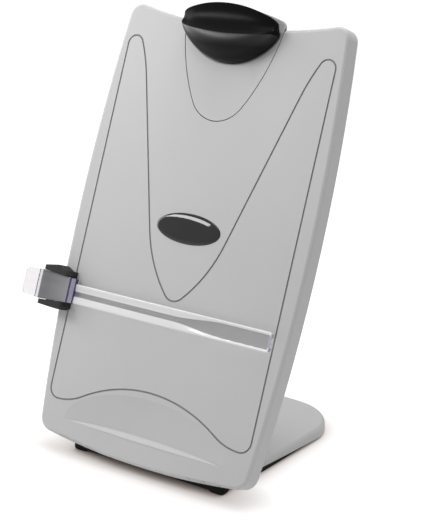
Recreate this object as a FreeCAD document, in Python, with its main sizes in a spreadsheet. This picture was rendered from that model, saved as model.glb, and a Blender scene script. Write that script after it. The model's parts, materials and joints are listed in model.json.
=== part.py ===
import FreeCAD, Part
import math
import os
import Sketcher
from FreeCAD import Placement, Rotation, Vector

# Copy holder with a sliding line guide, in millimetres.
# Base parts are drawn in the row frame: +X right, +Y back, +Z up, table at Z = 0,
# origin under the middle of the rear foot. Board parts are drawn flat, X across,
# Y up the slope, Z out of the front face, and are leaned back by their Placement.

SIZES = {
    # how the board stands
    "lean": 22.0,
    "corner_height": 21.0,
    "board_setback": 185.0,
    # board outline
    "board_half": 122.6,
    "widest_up": 193.5,
    "side_radius": 1670.0,
    "top_dip_up": 369.2,
    "top_radius": 470.0,
    "bottom_drop": 11.6,
    "bottom_radius": 740.0,
    "top_corner": 11.0,
    "bottom_corner": 13.0,
    # board shells
    "board_thick": 17.0,
    "cover_depth": 4.0,
    "wall": 2.6,
    "cover_wall": 2.4,
    "edge_round": 3.0,
    "back_round": 2.0,
    "seam_gap": 0.35,
    "rib_wall": 1.6,
    # panel line
    "line_radius": 0.75,
    "line_inset": 15.0,
    "vee_up": 131.5,
    "vee_tip": 12.0,
    "vee_flank": 125.0,
    "ear_bend": 172.0,
    "ear_radius": 8.0,
    "ear_top_up": 352.0,
    "low_corner": 10.0,
    "low_sweep": 52.0,
    "low_up": 25.1,
    "wave_up": 51.5,
    # paper ledge
    "ledge_up": 9.5,
    "ledge_half": 86.0,
    "ledge_depth": 3.2,
    "ledge_rise": 36.0,
    "ledge_backing": 3.4,
    # clip, placed by its pin
    "clip_pin_up": 364.0,
    "clip_pin_out": 6.2,
    "pin_radius": 1.5,
    "pin_play": 0.06,
    "clip_half": 48.3,
    "clip_drop": 26.0,
    "clip_rise": 22.0,
    "clip_low_radius": 56.0,
    "clip_high_radius": 130.0,
    "clip_lip_drop": 4.0,
    "clip_lip_out": 19.5,
    "clip_top_out": 17.0,
    "clip_end_out": 7.5,
    "clip_tip": 1.5,
    "clip_stand": 1.5,
    "clip_skin": 2.8,
    "clip_ear_in": 13.0,
    "clip_ear": 4.2,
    "clip_ear_foot": 7.0,
    "clip_ear_reach": 4.0,
    "clip_play": 0.5,
    "clip_room": 1.8,
    # clip seat, placed by the same pin
    "seat_drop": 76.2,
    "seat_rise": 22.2,
    "seat_tip": 30.0,
    "seat_flank": 180.0,
    "seat_turn": 58.0,
    "seat_top_radius": 160.0,
    "seat_round": 6.0,
    "seat_thin": 3.0,
    "seat_screw_in": 20.0,
    "seat_screw_drop": 30.0,
    "grip_thick": 1.5,
    "grip_sunk": 0.3,
    "grip_play": 0.3,
    "grip_top": 20.0,
    "grip_bottom": 12.0,
    "grip_rise": 5.0,
    "grip_up": 4.5,
    # badge
    "badge_up": 194.0,
    "badge_half": 33.0,
    "badge_rise": 12.75,
    "badge_sunk": 1.2,
    "badge_dome": 1.9,
    # line guide, placed by the middle of its block
    "guide_up": 119.8,
    "bar_drop": 10.8,
    "bar_width": 17.4,
    "bar_short": 14.7,
    "bar_corner": 4.5,
    "bar_rim": 3.2,
    "bar_groove": 0.8,
    "bar_gap": 2.6,
    "bar_thick": 3.0,
    "block_reach": 31.9,
    "block_over": 0.6,
    "block_outer_rise": 13.0,
    "block_inner_rise": 10.8,
    "block_face": 12.0,
    "cap_thick": 3.0,
    "tab_lip": 4.8,
    "tab_slit": 0.9,
    "tab_slit_deep": 1.8,
    "tab_length": 22.5,
    "tab_rise": 11.8,
    "tab_corner": 5.0,
    "tab_face": 10.0,
    "tab_thick": 2.5,
    # slider
    "guide_pin_out": 7.2,
    "pin_inset": 16.4,
    "slider_reach": 27.8,
    "slider_wall": 9.8,
    "slider_half": 16.6,
    "slider_web": 2.0,
    "slider_play": 0.4,
    "edge_play": 1.0,
    "ear_out": 14.0,
    "ear_outer": 17.4,
    "upper_ear_peak": 20.0,
    "upper_ear_shoulder": 16.2,
    "lower_ear_peak": 18.2,
    "lower_ear_shoulder": 18.4,
    "slider_screw": 9.7,
    "jaw_thick": 7.2,
    "jaw_over": 10.5,
    "jaw_trim": 2.0,
    # rail on the back
    "rail_inset": 19.6,
    "rail_neck": 6.0,
    "rail_head": 11.0,
    "rail_step": 2.2,
    "rail_low_up": 28.0,
    "rail_high_up": 345.0,
    "rail_play": 0.3,
    # hinge
    "hinge_up": 30.0,
    "hinge_back": 13.0,
    "axle_radius": 4.0,
    "axle_play": 0.05,
    "knuckle_radius": 10.0,
    "knuckle_half": 34.4,
    "washer_thick": 0.8,
    "washer_play": 0.1,
    "lug_radius": 9.0,
    "lug_thick": 9.5,
    "bracket_thick": 2.4,
    "bracket_half": 52.0,
    "bracket_low_up": 14.0,
    "bracket_high_up": 56.0,
    "bracket_inset": 6.5,
    "bracket_screw_in": 24.0,
    "axle_cap": 4.0,
    "axle_cap_radius": 7.0,
    # base
    "base_half": 84.5,
    "plate_nose": 8.0,
    "shell_short": 19.0,
    "base_back": 10.5,
    "base_mid": 80.0,
    "base_side_radius": 2500.0,
    "base_back_radius": 1500.0,
    "base_corner": 46.0,
    "nose_corner": 8.0,
    "shell_high": 13.2,
    "shell_crown": 1400.0,
    "shell_round": 4.5,
    "shell_wall": 2.4,
    "rim_front": 7.0,
    "rim_back": 0.9,
    "rim_run": 128.0,
    "rim_heel": 22.0,
    "plate_low": 3.5,
    "plate_thick": 4.5,
    "plate_play": 0.3,
    "skirt_low": 0.8,
    "skirt_wall": 2.0,
    "skirt_back": 34.0,
    "tower_run": 62.0,
    "tower_round": 3.0,
    "front_foot_in": 73.6,
    "front_foot_half": 7.4,
    "front_foot_back": 6.0,
    "foot_sunk": 1.0,
    "foot_nose": 1.5,
    "foot_corner": 3.5,
    "foot_round": 2.2,
    "rear_foot_half": 34.0,
    "rear_foot_back": 5.0,
    # fasteners
    "screw_inset": 33.6,
    "screw_low_up": 30.0,
    "screw_top_drop": 28.4,
    "shell_screw_inset": 23.5,
    "shell_screw_front": 40.0,
    "shell_screw_back": 29.0,
    "screw_radius": 1.5,
    "screw_head": 2.8,
    "screw_head_high": 1.8,
    "screw_long": 9.0,
    "slider_screw_long": 12.0,
    "shell_boss": 2.0,
    "shell_pilot": 3.4,
    "tower_well": 11.0,
    "boss_radius": 3.6,
    "screw_play": 0.2,
}

doc = FreeCAD.newDocument("copy_holder")
sheet = doc.addObject("Spreadsheet::Sheet", "Sizes")
for row, (name, number) in enumerate(SIZES.items(), start=1):
    sheet.set(f"A{row}", name)
    sheet.set(f"B{row}", str(number))
    sheet.setAlias(f"B{row}", name)
doc.recompute()


class Size:
    """A length or angle, kept both as a number and as the sheet's expression for it."""

    def __init__(self, value, text):
        self.value = value
        self.text = text

    def __add__(self, other):
        other = as_size(other)
        return Size(self.value + other.value, f"({self.text} + {other.text})")

    def __sub__(self, other):
        other = as_size(other)
        return Size(self.value - other.value, f"({self.text} - {other.text})")

    def __mul__(self, other):
        other = as_size(other)
        return Size(self.value * other.value, f"({self.text} * {other.text})")

    def __truediv__(self, other):
        other = as_size(other)
        return Size(self.value / other.value, f"({self.text} / {other.text})")

    def __radd__(self, other):
        return as_size(other) + self

    def __rsub__(self, other):
        return as_size(other) - self

    def __rmul__(self, other):
        return as_size(other) * self

    def __neg__(self):
        return Size(-self.value, f"(0 - {self.text})")


def as_size(thing):
    return thing if isinstance(thing, Size) else Size(float(thing), repr(float(thing)))


def sin(angle):
    return Size(math.sin(math.radians(angle.value)), f"sin({angle.text})")


def cos(angle):
    return Size(math.cos(math.radians(angle.value)), f"cos({angle.text})")


def root(thing):
    return Size(math.sqrt(thing.value), f"sqrt({thing.text})")


class Named:
    """The driving sizes by name, each one tied to its cell."""

    def __init__(self, numbers):
        for key, number in numbers.items():
            setattr(self, key, Size(number, "Sizes." + key))


d = Named(SIZES)
ZERO = as_size(0)
SUB_PARTS = []

# ---------------------------------------------------------------- shared tools


def tie(obj, prop, size):
    obj.setExpression(prop, size.text)


def lean_back(obj):
    """Stands a board part up: X stays across, Y goes up the slope, Z out of the face."""
    obj.Placement = Placement(
        Vector(0, -d.board_setback.value, d.corner_height.value),
        Rotation(Vector(1, 0, 0), 90 - d.lean.value),
    )
    tie(obj, "Placement.Base.y", -d.board_setback)
    tie(obj, "Placement.Base.z", d.corner_height)
    tie(obj, "Placement.Rotation.Angle", 90 - d.lean)


def sub_part(obj, label, on_board):
    obj.Label = label
    if on_board:
        lean_back(obj)
    SUB_PARTS.append(obj)
    return obj


def new_body(label, on_board=True):
    body = doc.addObject("PartDesign::Body", label + "_body")
    return sub_part(body, label, on_board)


def origin_plane(body, role):
    return [f for f in body.Origin.OriginFeatures if f.Role == role][0]


class Drawing:
    """A sketch on an origin plane of its own body, lifted along the plane's axis."""

    def __init__(self, body, name, plane="XY", lift=ZERO):
        self.sketch = body.newObject("Sketcher::SketchObject", name)
        self.sketch.AttachmentSupport = [(origin_plane(body, plane + "_Plane"), "")]
        self.sketch.MapMode = "FlatFace"
        offset = -lift if plane == "XZ" else lift
        self.sketch.AttachmentOffset = Placement(Vector(0, 0, offset.value), Rotation())
        tie(self.sketch, "AttachmentOffset.Base.z", offset)
        self.body = body
        self.plane = plane

    def rule(self, kind, *args):
        """Adds a constraint. A Size as its last argument is tied to the sheet."""
        last = args[-1]
        if isinstance(last, Size):
            index = self.sketch.addConstraint(
                Sketcher.Constraint(kind, *args[:-1], last.value)
            )
            tie(self.sketch, f"Constraints[{index}]", last)
        else:
            self.sketch.addConstraint(Sketcher.Constraint(kind, *args))

    def fix(self, geo, pos, point):
        self.rule("DistanceX", -1, 1, geo, pos, as_size(point[0]))
        self.rule("DistanceY", -1, 1, geo, pos, as_size(point[1]))

    def line(self, a, b):
        start = Vector(as_size(a[0]).value, as_size(a[1]).value, 0)
        end = Vector(as_size(b[0]).value, as_size(b[1]).value, 0)
        return self.sketch.addGeometry(Part.LineSegment(start, end))

    def polygon(self, points):
        count = len(points)
        sides = [self.line(points[i], points[(i + 1) % count]) for i in range(count)]
        for i, side in enumerate(sides):
            self.rule("Coincident", side, 2, sides[(i + 1) % count], 1)
            self.fix(side, 1, points[i])
        return sides

    def box(self, x0, x1, y0, y1):
        return self.polygon([(x0, y0), (x1, y0), (x1, y1), (x0, y1)])

    def circle(self, x, y, radius):
        x, y, radius = as_size(x), as_size(y), as_size(radius)
        centre = Vector(x.value, y.value, 0)
        geo = self.sketch.addGeometry(
            Part.Circle(centre, Vector(0, 0, 1), radius.value)
        )
        self.fix(geo, 3, (x, y))
        self.rule("Radius", geo, radius)
        return geo

    def arc(self, centre, radius, start, end):
        """Counter-clockwise from start to end, both in degrees and only a first guess."""
        middle = Vector(as_size(centre[0]).value, as_size(centre[1]).value, 0)
        circle = Part.Circle(middle, Vector(0, 0, 1), as_size(radius).value)
        geo = self.sketch.addGeometry(
            Part.ArcOfCircle(circle, math.radians(start), math.radians(end))
        )
        self.rule("Radius", geo, as_size(radius))
        return geo

    def pad(self, name, length, middle=False):
        """Adds material towards + on the plane's axis, or both ways from the plane."""
        pad = self.body.newObject("PartDesign::Pad", name)
        pad.Profile = self.sketch
        self.shape_of(pad, length, middle, self.plane == "XZ")
        return pad

    def cut(self, name, length, middle=False):
        """Takes material away towards + on the plane's axis, or both ways."""
        before = self.body.Shape.Volume
        pocket = self.body.newObject("PartDesign::Pocket", name)
        pocket.Profile = self.sketch
        self.shape_of(pocket, length, middle, self.plane != "XZ")
        if self.body.Shape.Volume > before - 0.1:
            raise RuntimeError(f"{self.body.Label}: {name} takes nothing away")
        return pocket

    def shape_of(self, feature, length, middle, reverse):
        length = as_size(length)
        if middle:
            feature.Midplane = True
        else:
            feature.Reversed = reverse
        feature.Length = length.value
        tie(feature, "Length", length)
        self.sketch.Visibility = False
        settle(self.body, feature, self.sketch)


def settle(body, *features):
    """Recomputes, and stops where one of the features has failed."""
    doc.recompute()
    for feature in features:
        if "Invalid" in feature.State or "Error" in feature.State:
            raise RuntimeError(f"{body.Label}: {feature.Name} failed {feature.State}")


def edges_where(feature, test):
    names = []
    for number, edge in enumerate(feature.Shape.Edges, start=1):
        if test(edge):
            names.append(f"Edge{number}")
    return names


def round_edges(body, name, radius, test, kind="PartDesign::Fillet"):
    """Rounds the edges of the body's last feature that pass the test."""
    base = body.Tip
    found = edges_where(base, test)
    if not found:
        raise RuntimeError(f"{body.Label}: {name} finds no edge")
    fillet = body.newObject(kind, name)
    fillet.Base = (base, found)
    if kind == "PartDesign::Fillet":
        fillet.Radius = radius.value
        tie(fillet, "Radius", radius)
    else:
        fillet.Size = radius.value
        tie(fillet, "Size", radius)
    settle(body, fillet)
    return fillet


def upright(edge, low, high):
    """True for an edge along the local Z axis that spans low to high."""
    box = edge.BoundBox
    flat = box.XLength < 1e-4 and box.YLength < 1e-4
    return flat and abs(box.ZMin - low) < 1e-3 and abs(box.ZMax - high) < 1e-3


def level(edge, height):
    box = edge.BoundBox
    return abs(box.ZMin - height) < 1e-3 and abs(box.ZMax - height) < 1e-3


def crossing(c1, r1, c2, r2, side):
    """The point where two circles cross, on the given side of the line of centres."""
    gap = math.hypot(c2[0] - c1[0], c2[1] - c1[1])
    along = (r1 * r1 - r2 * r2 + gap * gap) / (2 * gap)
    off = math.sqrt(max(r1 * r1 - along * along, 0.0)) * side
    ux, uy = (c2[0] - c1[0]) / gap, (c2[1] - c1[1]) / gap
    return (c1[0] + along * ux - off * uy, c1[1] + along * uy + off * ux)


def heading(centre, point):
    return math.degrees(math.atan2(point[1] - centre[1], point[0] - centre[0]))


# ---------------------------------------------------------------- board outlines


def bevel_rise():
    """How far the level underside climbs the slope between the two faces."""
    return d.board_thick * sin(d.lean) / cos(d.lean)


def board_outline(drawing, inset, raised=ZERO):
    """Bowed sides, hollow top edge and sagging bottom edge, set in by inset."""
    inset = as_size(inset)
    side_x = d.side_radius - d.board_half
    side = d.side_radius - inset
    top = (ZERO, d.top_dip_up + d.top_radius)
    top_r = d.top_radius + inset
    low = (ZERO, d.bottom_radius - d.bottom_drop)
    low_r = d.bottom_radius - inset - raised
    right_c = (-side_x.value, d.widest_up.value)
    top_c = (0.0, top[1].value)
    low_c = (0.0, low[1].value)
    high = crossing(right_c, side.value, top_c, top_r.value, -1)
    base = crossing(right_c, side.value, low_c, low_r.value, -1)
    a_high, a_base = heading(right_c, high), heading(right_c, base)
    t_high = heading(top_c, high)
    l_base = heading(low_c, base)
    right = drawing.arc((-side_x, d.widest_up), side, a_base, a_high)
    left = drawing.arc((side_x, d.widest_up), side, 180 - a_high, 180 - a_base)
    upper = drawing.arc(top, top_r, -180 - t_high, t_high)
    lower = drawing.arc(low, low_r, -180 - l_base, l_base)
    drawing.rule("Coincident", right, 1, lower, 2)
    drawing.rule("Coincident", right, 2, upper, 2)
    drawing.rule("Coincident", left, 1, upper, 1)
    drawing.rule("Coincident", left, 2, lower, 1)
    drawing.fix(right, 3, (-side_x, d.widest_up))
    drawing.fix(left, 3, (side_x, d.widest_up))
    drawing.fix(upper, 3, top)
    drawing.fix(lower, 3, low)


def corner_rounds(body, inset, low, high, name):
    """Rounds the four upright corners of a padded or pocketed board outline."""
    half_up = d.widest_up.value

    def at_top(edge):
        return upright(edge, low.value, high.value) and edge.BoundBox.YMin > half_up

    def at_bottom(edge):
        return upright(edge, low.value, high.value) and edge.BoundBox.YMax < half_up

    round_edges(body, name + "_top", d.top_corner - inset, at_top)
    round_edges(body, name + "_bottom", d.bottom_corner - inset, at_bottom)


def trim_underside(body, name, raised=ZERO):
    """Cuts the lower edge level with the table, so the leaned board clears the base."""
    start = raised - d.bottom_drop
    slope = sin(d.lean) / cos(d.lean)
    deep = d.board_thick + 10
    drawing = Drawing(body, name + "_sketch", "YZ", ZERO)
    drawing.polygon(
        [
            (start, ZERO),
            (start - 30, ZERO),
            (start - 30, -deep),
            (start + deep * slope, -deep),
        ]
    )
    drawing.cut(name, d.board_half * 2, middle=True)


def seat_flank_centre():
    """How far out and how far up the centre of a flank's arc lies."""
    reach = d.seat_flank - d.seat_tip
    low = d.clip_pin_up - d.seat_drop
    return reach * sin(d.seat_turn), low + d.seat_tip + reach * cos(d.seat_turn)


def seat_half(up):
    """Half the seat's width at a height on the board."""
    spread, flank_up = seat_flank_centre()
    rise = up - flank_up
    return root(d.seat_flank * d.seat_flank - rise * rise) - spread


def seat_outline(drawing, grow):
    """The U of the clip seat, grown outwards by grow; its top is a shallow arc."""
    grow = as_size(grow)
    tip_c = (ZERO, d.clip_pin_up - d.seat_drop + d.seat_tip)
    top_c = (ZERO, d.clip_pin_up + d.seat_rise - d.seat_top_radius)
    tip_r, flank_r = d.seat_tip + grow, d.seat_flank + grow
    top_r = d.seat_top_radius + grow
    spread, flank_up = seat_flank_centre()
    flank_c = (-spread.value, flank_up.value)
    corner = crossing(flank_c, flank_r.value, (0.0, top_c[1].value), top_r.value, 1)
    start, end = d.seat_turn.value - 90, heading(flank_c, corner)
    t_end = heading((0.0, top_c[1].value), corner)
    tip = drawing.arc(tip_c, tip_r, -180 - start, start)
    right = drawing.arc(flank_c, flank_r, start, end)
    top = drawing.arc(top_c, top_r, t_end, 180 - t_end)
    left = drawing.arc((spread, flank_up), flank_r, 180 - end, 180 - start)
    drawing.rule("Tangent", tip, 2, right, 1)
    drawing.rule("Coincident", right, 2, top, 1)
    drawing.rule("Coincident", top, 2, left, 1)
    drawing.rule("Tangent", left, 2, tip, 1)
    drawing.fix(tip, 3, tip_c)
    drawing.fix(top, 3, top_c)
    drawing.rule("DistanceX", right, 3, -1, 1, spread)
    drawing.rule("DistanceX", -1, 1, left, 3, spread)


def seat_corners(body, low, high, name):
    def corner(edge):
        return upright(edge, low.value, high.value) and edge.BoundBox.YMin > d.clip_pin_up.value

    round_edges(body, name, d.seat_round, corner)


def top_edge_band(drawing, half, below, above):
    """A band along the board's hollow top edge, from below the edge to above it."""
    centre = (ZERO, d.top_dip_up + d.top_radius)
    low_r, high_r = d.top_radius + below, d.top_radius - above
    turn = math.degrees(math.asin(half.value / d.top_radius.value))

    def end_of(radius, side):
        fall = math.sqrt(radius.value**2 - half.value**2)
        return (side * half.value, centre[1].value - fall)

    low = drawing.arc(centre, low_r, -90 - turn, turn - 90)
    high = drawing.arc(centre, high_r, -90 - turn, turn - 90)
    right = drawing.line(end_of(low_r, 1), end_of(high_r, 1))
    left = drawing.line(end_of(high_r, -1), end_of(low_r, -1))
    drawing.rule("Coincident", low, 2, right, 1)
    drawing.rule("Coincident", right, 2, high, 2)
    drawing.rule("Coincident", high, 1, left, 1)
    drawing.rule("Coincident", left, 2, low, 1)
    drawing.fix(low, 3, centre)
    drawing.fix(high, 3, centre)
    drawing.rule("Vertical", right)
    drawing.rule("Vertical", left)
    drawing.rule("DistanceX", -1, 1, right, 1, half)
    drawing.rule("DistanceX", left, 1, -1, 1, half)


# ---------------------------------------------------------------- screws and bosses

BOARD_SCREWS = [
    (d.board_half - d.screw_inset, up)
    for up in (d.screw_low_up, d.widest_up, d.top_dip_up - d.screw_top_drop)
]
SEAT_SCREWS = [(d.seat_screw_in, d.clip_pin_up - d.seat_screw_drop)]
BRACKET_SCREWS = [
    (d.bracket_screw_in, up)
    for up in (d.bracket_low_up + d.bracket_inset, d.bracket_high_up - d.bracket_inset)
]
PLATE_FRONT = d.board_setback - d.plate_nose
SHELL_FRONT = PLATE_FRONT - d.shell_short
SHELL_SCREWS = [
    (d.base_half - d.shell_screw_inset, y)
    for y in (d.shell_screw_front - SHELL_FRONT, d.base_back - d.shell_screw_back)
]


def both_sides(points):
    """Each (x, y) and its mirror image across the centre line."""
    return [(sign * x, y) for x, y in points for sign in (1, -1)]


def screws(label, points, head_at, up, on_board=True, long=None):
    """Identical pan-head screws as one group of solids. Heads start at head_at."""
    body_parts = []
    long = d.screw_long if long is None else long
    for number, (x, y) in enumerate(points):
        shank = doc.addObject("Part::Cylinder", f"{label}_shank_{number}")
        head = doc.addObject("Part::Cylinder", f"{label}_head_{number}")
        tie(shank, "Radius", d.screw_radius)
        tie(shank, "Height", long)
        tie(head, "Radius", d.screw_head)
        tie(head, "Height", d.screw_head_high)
        shank_at = head_at if up else head_at - long
        head_from = head_at - d.screw_head_high if up else head_at
        for piece, height in ((shank, shank_at), (head, head_from)):
            piece.Placement = Placement(Vector(x.value, y.value, height.value), Rotation())
            tie(piece, "Placement.Base.x", x)
            tie(piece, "Placement.Base.y", y)
            tie(piece, "Placement.Base.z", height)
        screw = doc.addObject("Part::Fuse", f"{label}_{number}")
        screw.Base = shank
        screw.Tool = head
        body_parts.append(screw)
    group = doc.addObject("Part::Compound", label)
    group.Links = body_parts
    return sub_part(group, label, on_board)


# ---------------------------------------------------------------- front panel

SHELL_BACK = d.cover_depth - d.board_thick


def front_panel():
    body = doc.addObject("PartDesign::Body", "front_panel_moulding")
    depth = d.board_thick - d.cover_depth
    outer = Drawing(body, "outline", "XY", SHELL_BACK)
    board_outline(outer, 0)
    outer.pad("block", depth)
    hollow = Drawing(body, "hollow_outline", "XY", SHELL_BACK)
    board_outline(hollow, d.wall, bevel_rise())
    hollow.cut("hollow", depth - d.wall)
    corner_rounds(body, d.wall, SHELL_BACK, -d.wall, "hollow_corners")
    corner_rounds(body, 0, SHELL_BACK, ZERO, "corners")

    def front_rim(edge):
        return level(edge, 0.0)

    round_edges(body, "front_round", d.edge_round, front_rim)
    trim_underside(body, "level_underside")
    backing = Drawing(body, "ledge_backing_sketch", "XY", -d.wall - d.ledge_backing)
    backing.box(
        -d.ledge_half - 2, d.ledge_half + 2, d.ledge_up - 6, d.ledge_up + d.ledge_rise + 2
    )
    backing.pad("ledge_backing", d.ledge_backing)
    cross = Drawing(body, "cross_rib_sketch", "XY", SHELL_BACK + 1)
    for up in (d.vee_up - 20, d.badge_up + 60):
        cross.box(
            -d.board_half + 10, d.board_half - 10, up - d.rib_wall / 2, up + d.rib_wall / 2
        )
    cross.pad("cross_ribs", depth - d.wall - 1 + 0.2)
    bosses = Drawing(body, "boss_sketch", "XY", SHELL_BACK)
    for x, y in both_sides(BOARD_SCREWS):
        bosses.circle(x, y, d.boss_radius)
    bosses.pad("bosses", depth - d.wall + 0.2)
    pilots = Drawing(body, "pilot_sketch", "XY", SHELL_BACK)
    for x, y in both_sides(BOARD_SCREWS):
        pilots.circle(x, y, d.screw_radius + d.screw_play)
    pilots.cut("pilots", d.screw_long - 1)
    seat = Drawing(body, "seat_opening_sketch", "XY", SHELL_BACK)
    seat_outline(seat, d.seam_gap)
    seat.cut("seat_opening", depth)

    recess = Drawing(body, "badge_recess_sketch", "XY", -d.badge_sunk)
    ellipse(recess, d.badge_half + d.seam_gap, d.badge_rise + d.seam_gap)
    recess.cut("badge_recess", d.badge_sunk)
    panel_line(body)
    scoop = ledge_scoop()
    cut = doc.addObject("Part::Cut", "front_panel_cut")
    cut.Base = body
    cut.Tool = scoop
    return sub_part(cut, "front_panel", True)


def ellipse(drawing, half, rise):
    """An ellipse round the badge's centre, wider than it is tall."""
    centre = Vector(0, d.badge_up.value, 0)
    shape = Part.Ellipse(centre, half.value, rise.value)
    geo = drawing.sketch.addGeometry(shape)
    drawing.sketch.exposeInternalGeometry(geo)
    drawing.fix(geo, 3, (ZERO, d.badge_up))
    major, minor = geo + 1, geo + 2
    drawing.rule("Horizontal", major)
    drawing.rule("DistanceX", major, 2, major, 1, half * 2)
    drawing.rule("DistanceY", minor, 2, minor, 1, rise * 2)


def wave_size(sweep_c):
    """The wave's radius that makes it run smoothly into the sweep beside it."""
    rise = sweep_c[1] - d.wave_up
    span = sweep_c[0] * sweep_c[0] + rise * rise - d.low_sweep * d.low_sweep
    return span / (d.wave_up - d.low_up) / 2


def panel_line(body):
    """The moulded line round the side panels: half of it is a pipe, then mirrored."""
    path = Drawing(body, "line_path", "XY", ZERO)
    tip_c = (ZERO, d.vee_up + d.vee_tip)
    turn = math.radians(45)
    a = (d.vee_tip.value * math.sin(turn), tip_c[1].value - d.vee_tip.value * math.cos(turn))
    flank_c = (
        a[0] - d.vee_flank.value * math.sin(turn),
        a[1] + d.vee_flank.value * math.cos(turn),
    )
    rise = 72.7
    line_half = d.board_half - d.line_inset
    ear_c = (line_half - d.ear_radius, d.ear_top_up - d.ear_radius)
    meet = 62.0
    bend_gap = d.ear_bend.value - d.ear_radius.value
    bend_c = (
        ear_c[0].value + bend_gap * math.sin(math.radians(meet)),
        ear_c[1].value - bend_gap * math.cos(math.radians(meet)),
    )
    corner_c = (line_half - d.low_corner, d.low_up + d.low_corner)
    sweep_c = (corner_c[0], d.low_up + d.low_sweep)
    wave_radius = wave_size(sweep_c)
    wave_c = (ZERO, d.wave_up - wave_radius)
    fall = math.degrees(math.asin(sweep_c[0].value / (d.low_sweep + wave_radius).value))
    tip = path.arc(tip_c, d.vee_tip, -90, -45)
    flank = path.arc(flank_c, d.vee_flank, -45, rise - 90)
    flank_end = (
        flank_c[0] + d.vee_flank.value * math.sin(math.radians(rise)),
        flank_c[1] - d.vee_flank.value * math.cos(math.radians(rise)),
    )
    bend_start = (
        bend_c[0] - d.ear_bend.value * math.sin(math.radians(rise)),
        bend_c[1] + d.ear_bend.value * math.cos(math.radians(rise)),
    )
    arm = path.line(flank_end, bend_start)
    bend = path.arc(bend_c, d.ear_bend, 90 + meet, 90 + rise)
    ear = path.arc(ear_c, d.ear_radius, 0, 90 + meet)
    side = path.line((line_half, ear_c[1]), (line_half, corner_c[1]))
    corner = path.arc(corner_c, d.low_corner, -90, 0)
    sweep = path.arc(sweep_c, d.low_sweep, -90 - fall, -90)
    wave = path.arc(wave_c, wave_radius, 90 - fall, 90)
    path.rule("Tangent", tip, 2, flank, 1)
    path.rule("Tangent", flank, 2, arm, 1)
    path.rule("Tangent", arm, 2, bend, 2)
    path.rule("Tangent", bend, 1, ear, 2)
    path.rule("Tangent", ear, 1, side, 1)
    path.rule("Tangent", side, 2, corner, 2)
    path.rule("Tangent", corner, 1, sweep, 2)
    path.rule("Tangent", sweep, 1, wave, 1)
    path.fix(tip, 3, tip_c)
    path.rule("DistanceX", -1, 1, tip, 2, d.vee_tip * sin(as_size(45)))
    path.rule("PointOnObject", tip, 1, -2)
    path.fix(ear, 3, ear_c)
    path.rule("DistanceX", -1, 1, bend, 1, ear_c[0] - d.ear_radius * sin(as_size(meet)))
    path.fix(corner, 3, corner_c)
    path.rule("DistanceX", -1, 1, corner, 1, corner_c[0])
    path.rule("PointOnObject", wave, 3, -2)
    path.rule("PointOnObject", wave, 2, -2)
    section = Drawing(body, "line_section", "YZ", ZERO)
    section.circle(d.vee_up, ZERO, d.line_radius)
    before = body.Shape.Volume
    pipe = body.newObject("PartDesign::SubtractivePipe", "panel_line")
    pipe.Profile = section.sketch
    pipe.Spine = path.sketch
    pipe.Transition = "Transformed"
    doc.recompute()
    half_cut = before - body.Shape.Volume
    mirror = body.newObject("PartDesign::Mirrored", "panel_line_mirrored")
    mirror.Originals = [pipe]
    mirror.MirrorPlane = (origin_plane(body, "YZ_Plane"), [""])
    body.Tip = mirror
    doc.recompute()
    if half_cut < 1 or before - body.Shape.Volume < 1.9 * half_cut:
        raise RuntimeError("the panel line is not cut on both sides")


def ledge_scoop():
    """Shallow dish above the paper ledge: part of an ellipsoid, cut off at 45 degrees."""
    deep = 30.0
    share = math.sqrt(1 - ((deep - d.ledge_depth.value) / deep) ** 2)
    dish = doc.addObject("Part::Ellipsoid", "ledge_dish")
    out = deep - d.ledge_depth
    wide = root(1 - (out / deep) * (out / deep))
    dish.Radius1 = deep
    dish.Radius2 = d.ledge_half.value / share
    dish.Radius3 = d.ledge_rise.value / share
    tie(dish, "Radius2", d.ledge_half / wide)
    tie(dish, "Radius3", d.ledge_rise / wide)
    dish.Placement = Placement(Vector(0, d.ledge_up.value, out.value), Rotation())
    tie(dish, "Placement.Base.y", d.ledge_up)
    tie(dish, "Placement.Base.z", out)
    keep = doc.addObject("Part::Box", "ledge_keep")
    size = 200.0
    for side in ("Length", "Width", "Height"):
        setattr(keep, side, size)
    turned = Rotation(Vector(1, 0, 0), -45)
    keep.Placement = Placement(
        Vector(-size / 2, d.ledge_up.value, 0) - turned.multVec(Vector(0, 0, size / 2)), turned
    )
    half = size / 2 / math.sqrt(2)
    tie(keep, "Placement.Base.y", d.ledge_up - half)
    scoop = doc.addObject("Part::Common", "ledge_scoop")
    scoop.Base = dish
    scoop.Tool = keep
    return scoop


# ---------------------------------------------------------------- back cover


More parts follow.
